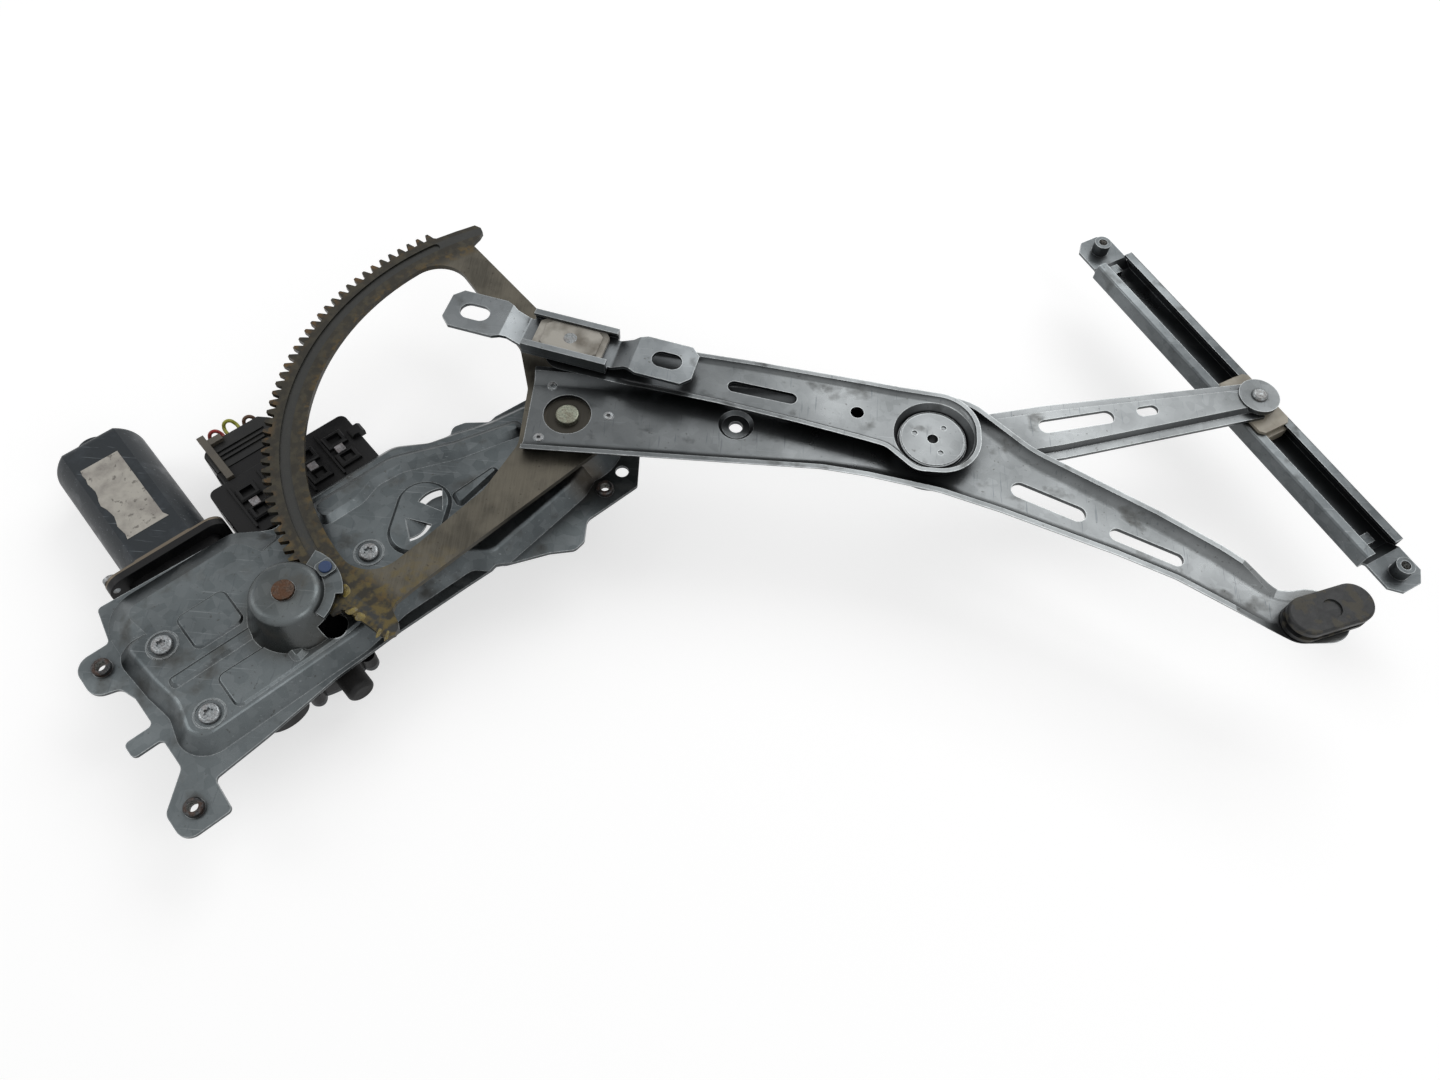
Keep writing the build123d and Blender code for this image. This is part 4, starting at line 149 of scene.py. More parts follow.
def between(tree, value, rise, fall=None):
    """A mask that climbs from 0 to 1 over one pair of readings and may fall over another."""
    masks = [add(tree, "ShaderNodeMapRange", {"Value": value, "From Min": start, "From Max": end})
             for start, end in filter(None, (rise, fall and fall[::-1]))]
    return meet(tree, *masks)


SOCKETS = {"base_color": "Base Color", "metallic": "Metallic", "roughness": "Roughness",
           "normal": "Normal", "specular": "Specular IOR Level"}


def wire(tree, shader, **sockets):
    """Puts values or nodes on the shader's own sockets."""
    for name, value in sockets.items():
        socket = shader.inputs[SOCKETS[name]]
        if isinstance(value, bpy.types.Node):
            value = (value, 0)
        if isinstance(value, tuple) and isinstance(value[0], bpy.types.Node):
            tree.links.new(value[0].outputs[value[1]], socket)
        else:
            socket.default_value = value


def dress(material, *nodes):
    for name in nodes:
        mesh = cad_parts[name].data
        mesh.materials.clear()
        mesh.materials.append(material)
    print(material.name, "on", ", ".join(nodes))

# %% [markdown]
# Dirt, wear and painted light follow the shape of a part, so they are found from it: by how near
# a place is to a greased joint, how steep it stands, how sheltered it lies and how sharp its edge
# is. Steep faces are darkened as painted shade, sheltered hollow places as painted shade and grime,
# and sharp edges are lightened as wear and painted highlight. Each finding is a mask from 0 to 1,
# and the finishes below use them as stencils.

# %% Masks that follow the shape
def near(tree, place, point, full, gone):
    """A mask that is 1 within full mm of a point and fades to 0 at gone mm."""
    away = add(tree, "ShaderNodeVectorMath", {0: place, 1: Vector(point) * MM}, operation="DISTANCE")
    return between(tree, (away, "Value"), (gone * MM, full * MM))


def steep_face_shade(tree):
    """A mask of the faces that stand steep, which the finishes darken as painted shade."""
    facing = (add(tree, "ShaderNodeNewGeometry"), "Normal")
    normal = add(tree, "ShaderNodeSeparateXYZ", {"Vector": facing})
    upright = add(tree, "ShaderNodeMath", {0: (normal, "Z")}, operation="ABSOLUTE")
    return between(tree, upright, (0.85, 0.25))


def hollow_shade_and_grime(tree, depth_mm):
    """A mask of inside corners and channels, which the finishes darken as painted shade and grime."""
    open_sky = add(tree, "ShaderNodeAmbientOcclusion", {"Distance": depth_mm * MM}, samples=6)
    return between(tree, (open_sky, "AO"), (0.92, 0.35))


def edge_wear_and_highlight(tree, radius_mm):
    """A mask of sharp edges, found where a rounded normal parts from the real one, which the zinc
    lightens as wear and painted highlight.
    """
    rounded = add(tree, "ShaderNodeBevel", {"Radius": radius_mm * MM}, samples=6)
    flat = (add(tree, "ShaderNodeNewGeometry"), "Normal")
    same = add(tree, "ShaderNodeVectorMath", {0: rounded, 1: flat}, operation="DOT_PRODUCT")
    return between(tree, (same, "Value"), (0.985, 0.85))


print("masks: near, walls, hollows, edge_wear_and_highlight")

# %% [markdown]
# The plate, the arms, the bracket and the rail are pressed from hot-dip galvanised steel sheet.
# Fresh zinc has frost-like crystals a few millimetres across, and years in a door add fine
# scratches, dull grey bloom and dark dirt. Sheltered hollow places are darkened as painted shade
# and grime, steep faces as painted shade, and sharp edges are lightened as wear and painted
# highlight. The eye reads it as a grey metal with a broad, slightly broken highlight. The crystals
# have their real size. A real scratch is a tenth of a millimetre wide, which is too fine to show
# here, so it is drawn about ten times as wide and faint.

# %% Galvanised steel sheet
def galvanised_sheet(name, light, dark, grime_from, scratch_turn, stains_and_shade=(), wall_shade_share=0.6,
                     hollow_mm=16.0, roughness=(0.24, 0.42)):
    """A stain, real or painted shade, is its place in mm, its full and outer radius in mm, its colour
    and its share.
    """
    material, tree, shader, place = start_material(name)
    crystals = add(tree, "ShaderNodeTexVoronoi", {"Vector": place, "Scale": 1 / (5.0 * MM)})
    frost = add(tree, "ShaderNodeSeparateColor", {"Color": (crystals, "Color")})
    cloud = speckle(tree, place, 55.0, 0.30, 0.70, detail=7.0)
    fine = speckle(tree, place, 1.6, 0.3, 0.7, detail=4.0)
    scratches = speckle(tree, place, 1.0, 0.66, 0.74, stretch=(0.02, 1, 1), turn=scratch_turn)
    nicks = speckle(tree, place, 1.3, 0.66, 0.72, detail=2.0, stretch=(1, 0.06, 1),
                    turn=scratch_turn - 35)
    grime = speckle(tree, place, 17.0, grime_from, grime_from + 0.16, detail=8.0)
    specks = speckle(tree, place, 2.2, 0.67, 0.73)
    # Two layers are painted shade: steep faces are darkened, and sheltered hollow places are darkened as
    # shade and grime.
    colour = layered(tree, linear(dark), (light, 1, cloud), ("#A2A6A8", 0.10, frost),
                     ("#3C3A36", 0.55, specks), ("#3E3C38", 0.7, grime),
                     ("#B4B9BC", 0.18, scratches), ("#4B5054", 0.5, nicks),
                     ("#26282A", wall_shade_share, steep_face_shade(tree)),
                     ("#2F3032", 0.85, hollow_shade_and_grime(tree, hollow_mm)))
    patchy = add(tree, "ShaderNodeMapRange", {"Value": grime, "To Min": 0.6, "To Max": 1.0})
    # An entry may be painted shade, as the wide darkening round the arm's pivot.
    for point, full, gone, shade, share in stains_and_shade:
        colour = layered(tree, colour, (shade, share, near(tree, place, point, full, gone), patchy))
    broken = add(tree, "ShaderNodeMapRange", {"Value": fine, "To Min": 0.35, "To Max": 1.0})
    # Sharp edges are lightened as wear and as painted highlight.
    colour = layered(tree, colour, ("#C3C7C8", 0.65, edge_wear_and_highlight(tree, 0.9), broken))
    sheen = add(tree, "ShaderNodeMapRange", {"Value": cloud, "To Min": roughness[1],
                                             "To Max": roughness[0]})
    rough = add(tree, "ShaderNodeMath", {0: sheen, 1: meet(tree, grime, 0.3)}, operation="ADD")
    wire(tree, shader, base_color=colour, metallic=0.92, roughness=rough,
         normal=dented(tree, (0.03, 0.5, fine), (0.04, 0.5, scratches), (0.12, 0.3, cloud)))
    return material


# The pivot that the sector and the lift arm turn on, in mm
HUB = (205.4, 154.2, 24.0)
plate_stains = [(HUB, 9, 19, "#2B2A27", 0.85), ((87.4, 34.6, 10.0), 14, 30, "#4A4335", 0.7),
                ((214.0, 130.0, 4.0), 4, 16, "#5B4A33", 0.6)]
# On the arm, the wide darkening round the pivot is painted shade that fades out towards the lit far end;
# the small one is a grease stain.
arm_shade_and_stains = [(HUB, 60, 200, "#2A2D2F", 0.8), ((590.9, 69.1, 28.0), 6, 20, "#4A443A", 0.6)]
# The plate's zinc is given darker colours than the arm's, as painted shade on the dimmer side.
dress(galvanised_sheet("zinc_pressed_plate_shaded", "#62686A", "#3C4143", 0.57, 45, plate_stains),
      "base_plate")
dress(galvanised_sheet("zinc_pressed_arm", "#797C7D", "#595C5D", 0.60, -10, arm_shade_and_stains),
      "lift_arm", "cross_arm_left", "cross_arm_right", "centre_hub")
dress(galvanised_sheet("zinc_rolled_channel", "#6E7375", "#44484A", 0.57, -58,
                       [((585.0, 208.0, 14.0), 10, 30, "#3D3932", 0.5)], wall_shade_share=0.15,
                       hollow_mm=24.0), "guide_rail")
dress(galvanised_sheet("zinc_pressed_bracket", "#787C7E", "#525658", 0.60, -12, wall_shade_share=0.3),
      "slotted_bracket")

# %% [markdown]
# The sector is stamped from bare steel and lives in grease. Its toothed ring has turned olive
# brown, with rust at the tooth roots and a smooth grey groove, while the two lugs stay a warm
# grey. The distance from the pivot tells them apart, so the stain follows the part itself.

# %% Greased sector steel
# Distances from the pivot in metres
RING_IN, GROOVE_IN, GROOVE_OUT, TOOTH_ROOT = 0.1345, 0.1437, 0.1492, 0.1545
GROOVE_SOFT = 0.0004


def greased_steel():
    material, tree, shader, place = start_material("greased_sector_steel")
    gap = add(tree, "ShaderNodeVectorMath", {0: place, 1: Vector(HUB) * MM}, operation="DISTANCE")
    away = (gap, "Value")
    ring = between(tree, away, (RING_IN - 0.004, RING_IN + 0.003))
    groove = between(tree, away, (GROOVE_IN - GROOVE_SOFT, GROOVE_IN + GROOVE_SOFT),
                     (GROOVE_OUT - GROOVE_SOFT, GROOVE_OUT + GROOVE_SOFT))
    roots = between(tree, away, (TOOTH_ROOT - 0.003, TOOTH_ROOT + 0.002))
    inner = meet(tree, ring, between(tree, away, (RING_IN + 0.007, RING_IN + 0.001)))
    height = add(tree, "ShaderNodeSeparateXYZ", {"Vector": place})
    lower_lug = between(tree, (height, "Y"), (0.075, 0.025))
    blot = speckle(tree, place, 16.0, 0.40, 0.62, detail=8.0)
    smear = speckle(tree, place, 5.0, 0.46, 0.60, detail=6.0)
    rust = speckle(tree, place, 4.0, 0.50, 0.60, detail=8.0)
    rolled = speckle(tree, place, 0.9, 0.35, 0.65, stretch=(1, 0.08, 1), turn=-40)
    specks = speckle(tree, place, 1.8, 0.66, 0.72)
    # The last layer darkens steep faces as painted shade.
    colour = layered(tree, linear("#45423B"), ("#57534A", 1, blot), ("#6E6A60", 0.18, rolled),
                     ("#26231B", 0.92, ring), ("#4A4536", 0.4, ring, smear),
                     ("#5C4526", 0.8, roots, rust), ("#5F4C24", 0.7, inner, rust),
                     ("#333433", 0.85, groove), ("#66572A", 0.7, lower_lug, smear),
                     ("#2E2A24", 0.5, specks), ("#2C2A26", 0.85, near(tree, place, HUB, 11, 15)),
                     ("#1D1B16", 0.4, steep_face_shade(tree)))
    rough = add(tree, "ShaderNodeMapRange", {"Value": blot, "To Min": 0.34, "To Max": 0.52})
    metal = add(tree, "ShaderNodeMapRange", {"Value": ring, "To Min": 0.85, "To Max": 0.5})
    wire(tree, shader, base_color=colour, metallic=metal, roughness=rough,
         normal=dented(tree, (0.02, 0.4, rolled), (0.08, 0.5, meet(tree, smear, ring))))
    return material


dress(greased_steel(), "sector_gear")

# %% [markdown]
# Nuts, screws, rivets and washers are turned or cold-headed steel with bright zinc plating.
# The pivot stud, the pins and the pinion are bare turned steel, so they carry a film of rust.
# The tool leaves marks a tenth of a millimetre wide that blur the highlight a little. They are
# too fine to show, so a grain of 0.8 mm stands in for them.

# %% Plated and bare turned steel
def turned_steel(name, bright, dull, rust_share, roughness):
    material, tree, shader, place = start_material(name)
    marks = speckle(tree, place, 0.8, 0.35, 0.65, detail=4.0)
    stain = speckle(tree, place, 3.0, 0.42, 0.60, detail=8.0)
    colour = layered(tree, linear(dull), (bright, 1, marks), ("#5A3B26", rust_share, stain))
    rough = add(tree, "ShaderNodeMapRange", {"Value": stain, "To Min": roughness,
                                             "To Max": roughness + 0.25})
    wire(tree, shader, base_color=colour, metallic=0.95 - 0.4 * rust_share, roughness=rough,
         normal=dented(tree, (0.03, 0.5, marks)))
    return material


dress(turned_steel("bright_zinc_plating", "#9A9EA0", "#6C7072", 0.2, 0.26),
      "motor_screws", "can_screws", "cover_screws", "arm_rivets", "pivot_washer")
dress(turned_steel("blued_clinch_nut", "#4C4D4E", "#2B2B2C", 0.35, 0.34), "tab_nuts")
dress(turned_steel("rusted_turned_steel", "#5C4C42", "#33281F", 0.6, 0.42), "pinion")
dress(turned_steel("greased_pivot_steel", "#8A8D80", "#63675B", 0.25, 0.30), "pivot_stud")
dress(turned_steel("bright_pin_steel", "#8E9293", "#626566", 0.2, 0.28),
      "bracket_pin", "rail_pin", "shoe_pin", "armature_shaft")

# %% [markdown]
# The gearbox, the electronics box and its lid are moulded in black glass-filled nylon.
# The fibres give the skin a fine, silky grain, and dust greys it a little in patches. The real
# grain is too fine to show at this distance, so each moulding's grain is drawn at about 1 mm.

# %% Black moulded plastics and rubber
def moulded(name, base, dusty, dust_share, roughness, grain_mm, grain_depth, specular=0.5):
    material, tree, shader, place = start_material(name)
    grain = speckle(tree, place, grain_mm, 0.35, 0.65, detail=3.0)
    dust = speckle(tree, place, 14.0, 0.45, 0.68, detail=8.0)
    rough = add(tree, "ShaderNodeMapRange", {"Value": dust, "To Min": roughness,
                                             "To Max": roughness + 0.18})
    wire(tree, shader, base_color=layered(tree, linear(base), (dusty, dust_share, dust)),
         roughness=rough, specular=specular, normal=dented(tree, (grain_depth, 0.5, grain)))
    return material


dress(moulded("glass_filled_nylon", "#08080A", "#201F1D", 0.25, 0.42, 0.7, 0.03, 0.22),
      "gear_housing", "electronics_housing", "electronics_cover", "brush_card")
dress(moulded("plug_polyester", "#0D0E0F", "#302E2A", 0.3, 0.38, 0.9, 0.02, 0.3), "connector_plug")
dress(moulded("latch_polyester", "#4B463E", "#6B6457", 0.4, 0.40, 0.9, 0.02), "plug_latch")
dress(moulded("breather_rubber", "#0B0B0C", "#262421", 0.25, 0.55, 1.2, 0.03, 0.3),
      "breather_cap", "drive_damper")
dress(moulded("worn_slider_acetal", "#B3AFA6", "#5E574C", 0.8, 0.40, 1.4, 0.04, 0.3), "bracket_slider")
dress(moulded("rail_slider_acetal", "#A39C8D", "#6A6355", 0.7, 0.40, 1.4, 0.04), "rail_slider")
dress(moulded("worm_wheel_acetal", "#E4E0D6", "#BDB49B", 0.4, 0.35, 1.4, 0.02), "worm_wheel")
dress(moulded("pressed_ferrite", "#2A2A2C", "#45444A", 0.4, 0.6, 0.6, 0.05), "magnets", "sensor_magnet")
dress(moulded("brush_carbon", "#1C1C1D", "#3B3A38", 0.4, 0.5, 0.5, 0.03), "brushes")
dress(moulded("circuit_fibreglass", "#1E5A33", "#2C3E2B", 0.3, 0.35, 0.8, 0.02), "circuit_board")

# %% [markdown]
# The motor and its electronics lie along the plate's own direction, which is turned by 45.4
# degrees. A place on them is easiest to give along and across the plate, starting at the pinion,
# so one helper turns such a place into the frame's own directions.

# %% Directions of the plate
PLATE_TURN = 45.4
PINION = Vector((87.442, 34.553, 0.0)) * MM


def on_plate(p, q, z=0.0):
    """A place given in mm along and across the plate from the pinion, as a point in metres."""
    return PINION + Matrix.Rotation(radians(PLATE_TURN), 3, "Z") @ Vector((p, q, z)) * MM


def plate_shift():
    """What a Mapping node adds after its turn so that the pinion reads as zero."""
    return Matrix.Rotation(radians(-PLATE_TURN), 3, "Z") @ -PINION


print("motor axis at", [round(v, 4) for v in on_plate(-31.8, 120.0)])

# %% [markdown]
# The motor can is drawn from sheet steel and coated dark blue-grey. Handling has rubbed the
# coating, so it is a satin paint with paler, smoother patches. The cut edge of its lip is bare
# steel. It lies square to the plate's direction, so a Mapping node turns the pattern that way.

# %% Coated motor can and gear cover
# Where the can's lip starts and ends across the plate, and how soft that edge is, in mm
CAN_LIP = (78.0, 80.4)
LIP_SOFT = 0.3


def coated_steel(name, coat, rubbed, bare_lip=False):
    material, tree, shader, place = start_material(name)
    wear = speckle(tree, place, 9.0, 0.50, 0.72, detail=9.0)
    skin = speckle(tree, place, 1.0, 0.3, 0.7)
    scuffs = speckle(tree, place, 1.2, 0.66, 0.71, detail=2.0, stretch=(0.07, 1, 1), turn=20)
    colour = layered(tree, linear(coat), (rubbed, 0.6, wear), ("#767C81", 0.4, scuffs))
    metal = 0.25
    if bare_lip:
        turned = add(tree, "ShaderNodeMapping", {"Vector": place, "Location": plate_shift(),
                                                 "Rotation": (0, 0, radians(-PLATE_TURN))})
        along = (add(tree, "ShaderNodeSeparateXYZ", {"Vector": turned}), "Y")
        lip = between(tree, along, *((edge * MM, (edge + LIP_SOFT) * MM) for edge in CAN_LIP))
        colour = layered(tree, colour, ("#6B6256", 0.9, lip))
        metal = add(tree, "ShaderNodeMapRange", {"Value": lip, "To Min": 0.25, "To Max": 0.85})
    rough = add(tree, "ShaderNodeMapRange", {"Value": wear, "To Min": 0.46, "To Max": 0.34})
    wire(tree, shader, base_color=colour, metallic=metal, specular=0.3, roughness=rough,
         normal=dented(tree, (0.05, 0.5, skin)))
    return material


dress(coated_steel("coated_motor_can", "#262B2F", "#3B4147", bare_lip=True), "motor_can")
dress(coated_steel("coated_gear_cover", "#26282B", "#3C3F42"), "gear_cover")

# %% [markdown]
# Inside the motor are copper windings and commutator bars, a stack of electrical sheet and a
# sintered bronze bushing. They hardly show, but each still gets the metal it is made of, with the
# fine lines of its wires, sheets or grains drawn at about half a millimetre.

# %% Motor metals
def plain_metal(name, light, dark, grain_mm, roughness):
    material, tree, shader, place = start_material(name)
    grain = speckle(tree, place, grain_mm, 0.35, 0.65, detail=4.0)
    rough = add(tree, "ShaderNodeMapRange", {"Value": grain, "To Min": roughness,
                                             "To Max": roughness + 0.12})
    wire(tree, shader, base_color=layered(tree, linear(dark), (light, 1, grain)), metallic=0.95,
         roughness=rough, normal=dented(tree, (0.03, 0.4, grain)))
    return material


dress(plain_metal("enamelled_copper", "#B8683B", "#8C4323", 0.7, 0.28), "armature_winding", "commutator")
dress(plain_metal("stacked_sheet_steel", "#8A8D90", "#5E6063", 0.5, 0.35), "armature_core")
dress(plain_metal("sintered_bronze", "#A07A45", "#7A5B30", 0.6, 0.42), "can_bushing")

# %% [markdown]
# The shoe is moulded in dark grey plastic. It slid in a greased channel, so tan residue sits in
# its groove and on its top. The guide button by the dome is a small blue moulding.

# %% Shoe and guide button
def greasy_moulding():
    material, tree, shader, place = start_material("greasy_shoe_plastic")
    residue = speckle(tree, place, 6.0, 0.52, 0.60, detail=7.0)
    lumps = speckle(tree, place, 5.0, 0.35, 0.70, detail=5.0)
    colour = layered(tree, linear("#1E1F20"), ("#313233", 1, lumps), ("#5E594C", 0.45, residue))
    rough = add(tree, "ShaderNodeMapRange", {"Value": residue, "To Min": 0.42, "To Max": 0.6})
    wire(tree, shader, base_color=colour, specular=0.3, roughness=rough,
         normal=dented(tree, (0.2, 0.5, lumps)))
    return material


dress(greasy_moulding(), "shoe")
dress(moulded("blue_button_plastic", "#1B3763", "#35404E", 0.4, 0.4, 0.9, 0.02), "guide_button")

# %% [markdown]
# The leads are stranded copper in soft coloured insulation. Each gets its own colour with a
# thin film of dust, and a slight unevenness that catches the light along its length.

# %% Lead insulation
for lead, shade in (("lead_black", "#191919"), ("lead_red", "#9A2320"), ("lead_green", "#A0A33A"),
                    ("lead_brown", "#5B3A24")):
    dress(moulded(lead + "_insulation", shade, "#6E675B", 0.4, 0.42, 1.5, 0.02), lead)

# %% [markdown]
# Small things still make the part look used: threads in the nuts, a torn paper label, pale
# square contacts on the electronics and lumps of old grease. Each is started from a primitive
# and shaped in edit mode. An operator works on what is selected, so one helper clears the
# selection, and another selects points, edges or faces by where they are.

# %% Helpers for new pieces
def start_piece(name, operator, **size):
    """Adds a primitive, names it and opens it in edit mode."""
    bpy.ops.object.select_all(action="DESELECT")
    operator(**size)
    piece = bpy.context.object
    piece.name = name
    bpy.ops.object.mode_set(mode="EDIT")
    return piece


def pick(piece, kind, test):
    """Selects only the points, edges or faces that pass the test."""
    bpy.ops.mesh.select_mode(type={"verts": "VERT", "edges": "EDGE", "faces": "FACE"}[kind])
    bpy.ops.mesh.select_all(action="DESELECT")
    mesh = bmesh.from_edit_mesh(piece.data)
    for item in getattr(mesh, kind):
        if test(item):
            item.select_set(True)
    mesh.select_flush_mode()
    bmesh.update_edit_mesh(piece.data)


def settle(piece):
    """Closes seams, points the faces outwards and leaves the piece's place in its mesh."""
    bpy.ops.object.mode_set(mode="EDIT")
    bpy.ops.mesh.select_all(action="SELECT")
    bpy.ops.mesh.remove_doubles(threshold=0.00001)
    bpy.ops.mesh.normals_make_consistent(inside=False)
    bpy.ops.object.mode_set(mode="OBJECT")
    bpy.ops.object.select_all(action="DESELECT")
    piece.select_set(True)
    bpy.context.view_layer.objects.active = piece
    bpy.ops.object.transform_apply(location=True, rotation=True, scale=True)
    bpy.ops.object.shade_smooth_by_angle(angle=radians(35))


def copy_to(piece, name, move):
    """A copy with its own mesh, moved by a matrix. Called before the piece rides on a body."""
    twin = piece.copy()
    twin.data = piece.data.copy()
    twin.name = name
    twin.data.transform(move)
    bpy.context.scene.collection.objects.link(twin)
    return twin


def fit_piece(piece, material, body):
    piece.data.materials.clear()
    piece.data.materials.append(material)
    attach(piece, body)
    print(piece.name, "faces", len(piece.data.polygons), "on", body)


def fit_copies(model, places, material, body):
    """Copies the model to every place but the first, and then moves the model there."""
    (_, home), *others = places.items()
    for name, move in reversed(others):
        fit_piece(copy_to(model, name, move), material, body)
    model.data.transform(home)
    fit_piece(model, material, body)


def shift(x, y, z):
    """A matrix that moves by so many mm."""
    return Matrix.Translation(Vector((x, y, z)) * MM)


def turn_about_z(degrees):
    return Matrix.Rotation(radians(degrees), 4, "Z")

# %% [markdown]
# The nuts are tapped M6, and their threads catch the light as bright rings. A thread this small
# reads the same as a stack of rings a pitch apart, so a circle is extruded up and drawn in and
# out for each ring, and then bridged back to itself. The rings stand in the bore's own wall.

# %% Threads in the nuts
THREAD_PITCH = 1.0 * MM
# Radii of the thread's bottom, its crest and the sleeve's back inside the nut
BORE, CREST, BACK = 2.62 * MM, 2.38 * MM, 2.9 * MM


def thread_rings(name, rings):
    piece = start_piece(name, bpy.ops.mesh.primitive_circle_add, vertices=32, radius=BACK)
    bpy.ops.mesh.select_all(action="SELECT")
    radius = BACK
    for step in range(2 * rings + 1):
        wanted = CREST if step % 2 else BORE
        rise = 0.0 if step == 0 else THREAD_PITCH / 2
        bpy.ops.mesh.extrude_region_move(TRANSFORM_OT_translate={"value": (0, 0, rise)})
        bpy.ops.transform.resize(value=(wanted / radius, wanted / radius, 1))
        radius = wanted
    bpy.ops.mesh.extrude_region_move()
    bpy.ops.transform.resize(value=(BACK / radius, BACK / radius, 1))
    pick(piece, "edges", lambda edge: edge.is_boundary)
    bpy.ops.mesh.bridge_edge_loops()
    settle(piece)
    return piece


thread_steel = turned_steel("bright_cut_thread", "#A6A8A6", "#6E6F6C", 0.3, 0.24)
# For each body: the rings in one nut, and where each nut's thread starts, in mm
THREADS = {"base": (4, {"tab_thread_upper": (0.0, 0.0, 0.8),
                        "ear_thread": (227.882, 124.984, 0.8),
                        "tab_thread_lower": (64.082, -63.194, 0.8)}),
           "rail": (7, {"rail_thread_upper": (511.596, 323.646, 10.4),
                        "rail_thread_lower": (647.696, 109.187, 10.4)})}
for body, (rings, starts) in THREADS.items():
    places = {name: shift(*start) for name, start in starts.items()}
    fit_copies(thread_rings(next(iter(places)), rings), places, thread_steel, body)

# %% [markdown]
# A white paper label is glued along the flat top of the motor can. It has yellowed, and its left
# edge is torn. It carries no print here. A plane is cut into small squares, the points of its
# left edge are pulled in and out in turn, and the sheet is then extruded to paper thickness.
# Paper is matt, with short fibres that are drawn a little coarser than they are.

# %% Paper label on the motor can
# The label's middle and its half width and half length, along and across the plate, in mm
LABEL_MIDDLE = (-33.0, 121.0, 5.12)
LABEL_HALF = (10.6, 26.8)
LABEL_SHEET = 0.14
CORNER_PULL = 1.6
# How far each point of the torn edge is pulled in, from the lower corner up, in mm
TEARS = (0.0, 0.66, 0.24, -0.36, 0.54, 1.2, 0.72, 0.12, -1.14, -0.72, 0.3, 0.84, 0.36, -0.18, 0.48,
         0.06, 0.6)


def torn_label():
    piece = start_piece("can_label", bpy.ops.mesh.primitive_plane_add, size=2.0)
    bpy.ops.mesh.subdivide(number_cuts=len(TEARS) - 2)
    bpy.ops.mesh.select_all(action="SELECT")
    wide, high = (half * MM for half in LABEL_HALF)
    bpy.ops.transform.resize(value=(wide, high, 1))
    near_by = 0.1 * MM
    for row, tear in enumerate(TEARS):
        level = high * (2 * row / (len(TEARS) - 1) - 1)
        pick(piece, "verts", lambda v: v.co.x < near_by - wide and abs(v.co.y - level) < near_by)
        bpy.ops.transform.translate(value=(tear * MM, 0, 0))
    pick(piece, "verts", lambda v: v.co.x > wide - near_by and v.co.y < near_by - high)
    bpy.ops.transform.translate(value=(CORNER_PULL * MM, 0, 0))
    bpy.ops.mesh.select_all(action="SELECT")
    bpy.ops.mesh.extrude_region_move(TRANSFORM_OT_translate={"value": (0, 0, -LABEL_SHEET * MM)})
    settle(piece)
    piece.data.transform(Matrix.Translation(on_plate(*LABEL_MIDDLE)) @ turn_about_z(PLATE_TURN))
    return piece


def old_paper():
    material, tree, shader, place = start_material("yellowed_label_paper")
    fibre = speckle(tree, place, 0.6, 0.3, 0.7, detail=4.0)
    stain = speckle(tree, place, 9.0, 0.42, 0.66, detail=8.0)
    rubbed = speckle(tree, place, 3.0, 0.60, 0.66, detail=6.0)
    colour = layered(tree, linear("#B9B5AC"), ("#95908A", 1, stain), ("#CFCBC2", 0.2, fibre),
                     ("#5F5B56", 0.7, rubbed))
    wire(tree, shader, base_color=colour, roughness=0.8, normal=dented(tree, (0.03, 0.5, fibre)))
    return material


fit_piece(torn_label(), old_paper(), "base")

# %% [markdown]
# Three square windows in the electronics cover show a dull metal contact. Each is a small block
# with a bevelled top, pressed a little into the cover, so a cube is scaled, its top is inset and
# lowered, and its outer edges are bevelled. The two others are copies.

# %% Contact squares on the electronics cover
# Each contact's place along and across the plate and the height of its middle, in mm
CONTACTS = ((17.6, 77.3, -0.4), (52.4, 77.3, -0.4), (69.8, 78.2, -0.4))
CONTACT_HALF = 2.5
CONTACT_HALF_HEIGHT = 0.8
CONTACT_RIM = 0.5
CONTACT_DIP = 0.25


def contact_square(name):
    piece = start_piece(name, bpy.ops.mesh.primitive_cube_add, size=2.0)
    bpy.ops.mesh.select_all(action="SELECT")
    bpy.ops.transform.resize(value=(CONTACT_HALF * MM, CONTACT_HALF * MM, CONTACT_HALF_HEIGHT * MM))
    pick(piece, "faces", lambda face: face.normal.z > 0.9)
    bpy.ops.mesh.inset(thickness=CONTACT_RIM * MM)
    bpy.ops.transform.translate(value=(0, 0, -CONTACT_DIP * MM))
    side, top = (CONTACT_HALF - 0.1) * MM, (CONTACT_HALF_HEIGHT - 0.1) * MM
    pick(piece, "edges", lambda edge: min(abs(vert.co.x) for vert in edge.verts) > side
         and max(vert.co.z for vert in edge.verts) > top)
    bpy.ops.mesh.bevel(offset=CONTACT_DIP * MM, segments=2)
    settle(piece)
    return piece


contact_tin = turned_steel("dull_tinned_contact", "#8B8A8C", "#6B6A6C", 0.2, 0.45)
places = {f"contact_square_{number}": Matrix.Translation(on_plate(*spot)) @ turn_about_z(PLATE_TURN)
          for number, spot in enumerate(CONTACTS, 1)}
fit_copies(contact_square("contact_square_1"), places, contact_tin, "base")

# %% [markdown]
# Old gear grease has turned yellow and been pushed into soft lumps on the sector's lower lug. A
# lump is a ball whose points are pulled out and in on one side after another and smoothed. Its
# lower half is pressed flat, so that it spreads at the foot. One is modelled and copied. The
# grease is thick and still wet, so it has a soft gloss, with dark grit in it.

